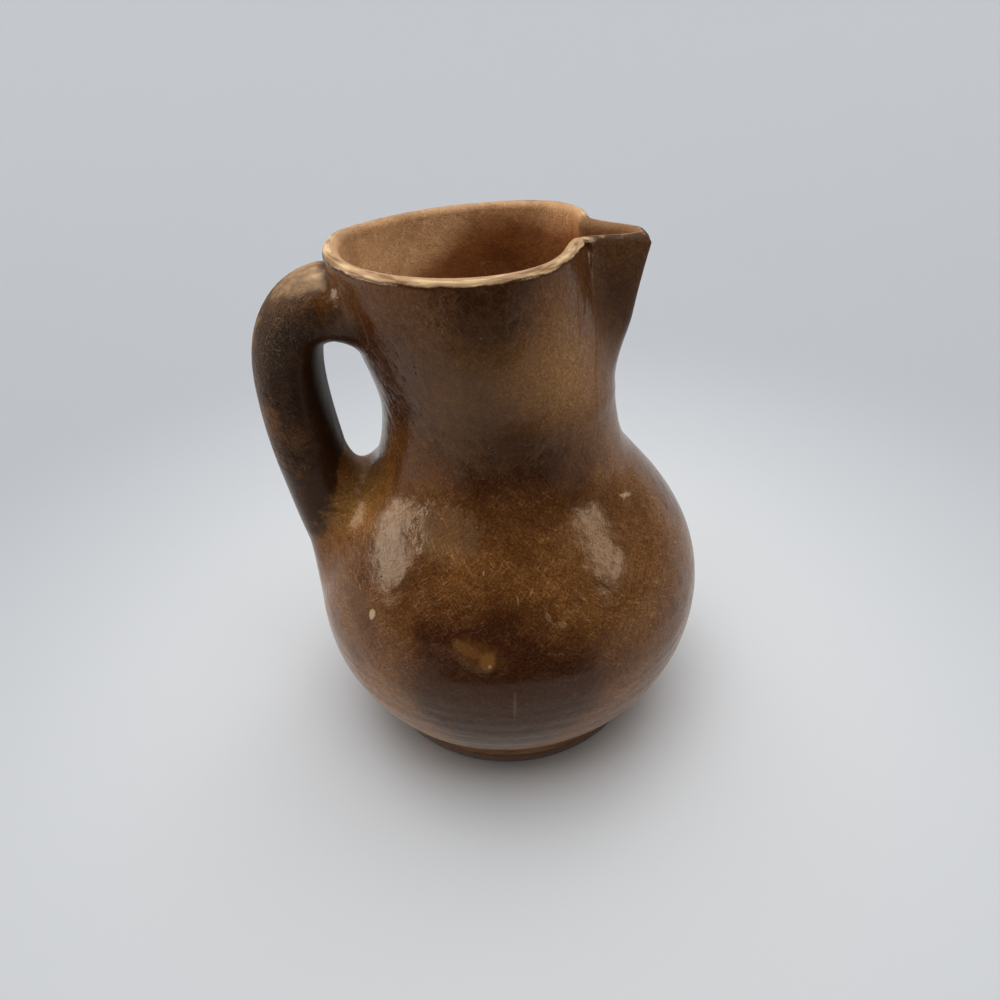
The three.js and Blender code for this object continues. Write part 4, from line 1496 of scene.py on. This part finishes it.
class PITCHER_OT_stage(bpy.types.Operator):
    """Set the floor, the soft lights and the camera"""

    bl_idname = "pitcher.stage"
    bl_label = "Stage"

    # Sweep from the floor up to the wall: number and length of its steps, and the wall's height
    sweep_steps = 12
    sweep_length = 0.12
    wall_height = 2

    # Straight sweep: its size, how far in front its middle stands, its depth, and its share of the light
    sweep_size = 4
    sweep_front = 1.6
    sweep_depth = 0.0005
    sweep_share = 0.83

    # Reach of the bright floor round the pitcher, and of the floor before the backdrop's colour
    near_reach = 0.34
    far_reach = 1.5

    # Sky: its tint, and the directions towards the camera between which it dims
    sky_tint = (1.0, 0.99, 0.97, 1.0)
    dim_zone = (-0.85, -0.25)

    # Dark card: its colour and sizes, how far its middle lies in front, and its height over the floor
    card_tint = (0.015, 0.015, 0.015, 1.0)
    card_sizes = (1.6, 1.4)
    card_front = 0.82
    card_height = 0.001

    def execute(self, context):
        stage = context.scene.pitcher_stage
        self.backdrop(stage)
        self.sky(context, stage)
        self.card()
        self.lights(stage)
        self.camera(context, stage)
        context.scene.view_settings.view_transform = "Standard"
        return {"FINISHED"}

    def backdrop(self, stage):
        """A pale round floor that sweeps up to a wall, and the straight sweep that lights the pitcher."""
        steps = []
        for step in range(self.sweep_steps):
            angle = math.radians(90 * (step + 0.5) / self.sweep_steps)
            steps.append((self.sweep_length * math.cos(angle), self.sweep_length * math.sin(angle)))
        steps.append((0, self.wall_height))
        floor = self.round_floor(steps)
        sweep = self.straight_sweep(steps)
        self.papered(floor, stage, 1.0)
        self.papered(sweep, stage, self.sweep_share)
        sweep.visible_camera = False
        floor.visible_diffuse = False
        floor.visible_glossy = False
        floor.visible_shadow = False

    @staticmethod
    def round_floor(steps):
        """The floor that the camera sees, with its wall all round."""
        curve = [(0.0, 0.0), (0.2, 0.0), (0.4, 0.0)]
        for out, up in steps:
            curve.append((curve[-1][0] + out, curve[-1][1] + up))
        return turned("stage_floor", curve, 96, False)

    def straight_sweep(self, steps):
        """A broad sheet that rises behind the pitcher."""
        clear_selection()
        place = (0, -self.sweep_front, -self.sweep_depth)
        bpy.ops.mesh.primitive_plane_add(size=self.sweep_size, location=place)
        sweep = named(bpy.context.object, "stage_sweep")
        bpy.ops.object.mode_set(mode="EDIT")
        bpy.ops.mesh.select_all(action="DESELECT")
        sheet = bmesh.from_edit_mesh(sweep.data)
        for edge in sheet.edges:
            edge.select_set(all(v.co.y > 0 for v in edge.verts))
        bmesh.update_edit_mesh(sweep.data)
        for out, up in steps:
            bpy.ops.mesh.extrude_edges_move(TRANSFORM_OT_translate={"value": (0, out, up)})
        bpy.ops.object.mode_set(mode="OBJECT")
        bpy.ops.object.transform_apply(location=True, rotation=False, scale=False)
        return sweep

    def papered(self, sheet, stage, share):
        """Gives a sheet its matt paper, brightest round the pitcher."""
        f = Finish(sheet.name)
        near, outer, far = [[share * v for v in tone] for tone in (stage.floor, stage.back, stage.far)]
        paper = f.over(f.spot((0, 0, 0), self.near_reach), outer, near)
        f.join(f.over(f.spot((0, 0, 0), self.far_reach), far, paper), f.shader.inputs["Base Color"])
        f.shader.inputs["Roughness"].default_value = 0.9
        only(sheet)
        bpy.ops.object.shade_smooth()
        sheet.data.materials.append(f.material)

    def sky(self, context, stage):
        """Soft light from all round, dimmer on the camera's side."""
        world = context.scene.world or bpy.data.worlds.new("studio")
        context.scene.world = world
        world.use_nodes = True
        tree = world.node_tree
        aim = tree.nodes.new("ShaderNodeTexCoord")
        axes = tree.nodes.new("ShaderNodeSeparateXYZ")
        tree.links.new(aim.outputs["Generated"], axes.inputs["Vector"])
        front = tree.nodes.new("ShaderNodeMapRange")
        front.interpolation_type = "SMOOTHSTEP"
        tree.links.new(axes.outputs["Y"], front.inputs["Value"])
        front.inputs["From Min"].default_value, front.inputs["From Max"].default_value = self.dim_zone
        front.inputs["To Min"].default_value = stage.sky * stage.shade
        front.inputs["To Max"].default_value = stage.sky
        ground = tree.nodes["Background"]
        ground.inputs["Color"].default_value = self.sky_tint
        tree.links.new(front.outputs["Result"], ground.inputs["Strength"])

    def card(self):
        """A dark card on the floor below the camera, which only the gloss sees: a dark sheet that puts the
        shade of the camera's side into the glaze's reflections.
        """
        clear_selection()
        bpy.ops.mesh.primitive_plane_add(size=1, location=(0, 0, 0))
        card = named(bpy.context.object, "stage_card")
        wide, deep = self.card_sizes
        for vertex in card.data.vertices:
            vertex.co = (vertex.co.x * wide, vertex.co.y * deep - self.card_front, self.card_height)
        f = Finish("stage_black")
        axes = f.axes()
        near = f.ease(axes["Y"], -0.205, -0.165, 1.0, 0.0)
        width = f.plus(f.times(axes["Y"], -0.66), 0.012)
        aside = f.maths("ABSOLUTE", f.minus(axes["X"], 0.02), 0.0)
        sides = f.ease(f.maths("DIVIDE", aside, width), 0.86, 1.08, 1.0, 0.0)
        f.join(f.times(near, sides), f.shader.inputs["Alpha"])
        f.shader.inputs["Base Color"].default_value = self.card_tint
        f.shader.inputs["Roughness"].default_value = 1.0
        card.data.materials.append(f.material)
        card.visible_camera = False
        card.visible_diffuse = False
        card.visible_shadow = False

    def lights(self, stage):
        """A broad light overhead and two soft windows, which leave the visible floor alone."""
        unlit = bpy.data.collections.new("stage_unlit")
        unlit.objects.link(bpy.data.objects["stage_floor"])
        unlit.collection_objects[0].light_linking.link_state = "EXCLUDE"
        self.lamp("top_light", (0.0, 0.15, 1.3), (0, 0, 0.05), (1.5, 1.5), stage.top_power)
        windows = (("left_window", (-0.88, -0.04, 0.38), (0.54, 0.31), stage.left_power),
                   ("right_window", (0.80, -0.34, 0.48), (0.28, 0.26), stage.right_power))
        for name, at, sizes, power in windows:
            window = self.lamp(name, at, (0, 0, 0.08), sizes, power)
            window.data.color = WARM
            window.light_linking.receiver_collection = unlit

    @staticmethod
    def lamp(name, at, towards, sizes, power):
        """A soft rectangular light, turned towards a point."""
        light = bpy.data.lights.new(name, "AREA")
        light.shape = "RECTANGLE"
        light.size, light.size_y = sizes
        light.energy = power
        holder = bpy.data.objects.new(name, light)
        bpy.context.scene.collection.objects.link(holder)
        holder.location = at
        holder.rotation_euler = (Vector(towards) - Vector(at)).to_track_quat("-Z", "Y").to_euler()
        return holder

    @staticmethod
    def camera(context, stage):
        """The photograph's camera."""
        lens = bpy.data.cameras.new("camera")
        lens.lens = stage.lens
        lens.sensor_width = 36
        lens.clip_start = 0.01
        holder = bpy.data.objects.new("camera", lens)
        context.scene.collection.objects.link(holder)
        pitch, roll, yaw = stage.pitch, stage.roll, stage.yaw
        ahead = Vector((math.sin(yaw) * math.cos(pitch), math.cos(yaw) * math.cos(pitch), -math.sin(pitch)))
        right = Vector((math.cos(yaw), -math.sin(yaw), 0))
        up = right.cross(ahead)
        side = right * math.cos(roll) + up * math.sin(roll)
        top = up * math.cos(roll) - right * math.sin(roll)
        frame_axes = Matrix((side, top, -ahead)).transposed().to_4x4()
        frame_axes.translation = Vector((0, -stage.camera_y, stage.camera_z))
        holder.matrix_world = frame_axes
        context.scene.camera = holder


class PITCHER_PT_panel(bpy.types.Panel):
    """Lists the pitcher's pieces and settings"""

    bl_label = "Pottery pitcher"
    bl_idname = "PITCHER_PT_panel"
    bl_space_type = "VIEW_3D"
    bl_region_type = "UI"
    bl_category = "Pitcher"

    def draw(self, context):
        for step in STEPS:
            self.layout.operator(step.bl_idname)
        scene = context.scene
        for group in (scene.pitcher_sizes, scene.pitcher_colours, scene.pitcher_stage):
            box = self.layout.box()
            for key in group.__annotations__:
                box.prop(group, key)


STEPS = (PITCHER_OT_stage, PITCHER_OT_foot, PITCHER_OT_belly,
         PITCHER_OT_crease, PITCHER_OT_neck, PITCHER_OT_handle)
CLASSES = (PitcherSizes, PitcherColours, PitcherStage, *STEPS, PITCHER_PT_panel)


def register():
    """Adds the classes and the scene's settings."""
    for item in CLASSES:
        bpy.utils.register_class(item)
    bpy.types.Scene.pitcher_sizes = bpy.props.PointerProperty(type=PitcherSizes)
    bpy.types.Scene.pitcher_colours = bpy.props.PointerProperty(type=PitcherColours)
    bpy.types.Scene.pitcher_stage = bpy.props.PointerProperty(type=PitcherStage)


def unregister():
    """Takes the settings and the classes away."""
    del bpy.types.Scene.pitcher_stage
    del bpy.types.Scene.pitcher_colours
    del bpy.types.Scene.pitcher_sizes
    for item in reversed(CLASSES):
        bpy.utils.unregister_class(item)


def main():
    """Builds every piece and the stage."""
    register()
    bpy.ops.pitcher.stage()
    bpy.ops.pitcher.foot()
    bpy.ops.pitcher.belly()
    bpy.ops.pitcher.crease()
    bpy.ops.pitcher.neck()
    bpy.ops.pitcher.handle()


if __name__ == "__main__":
    main()
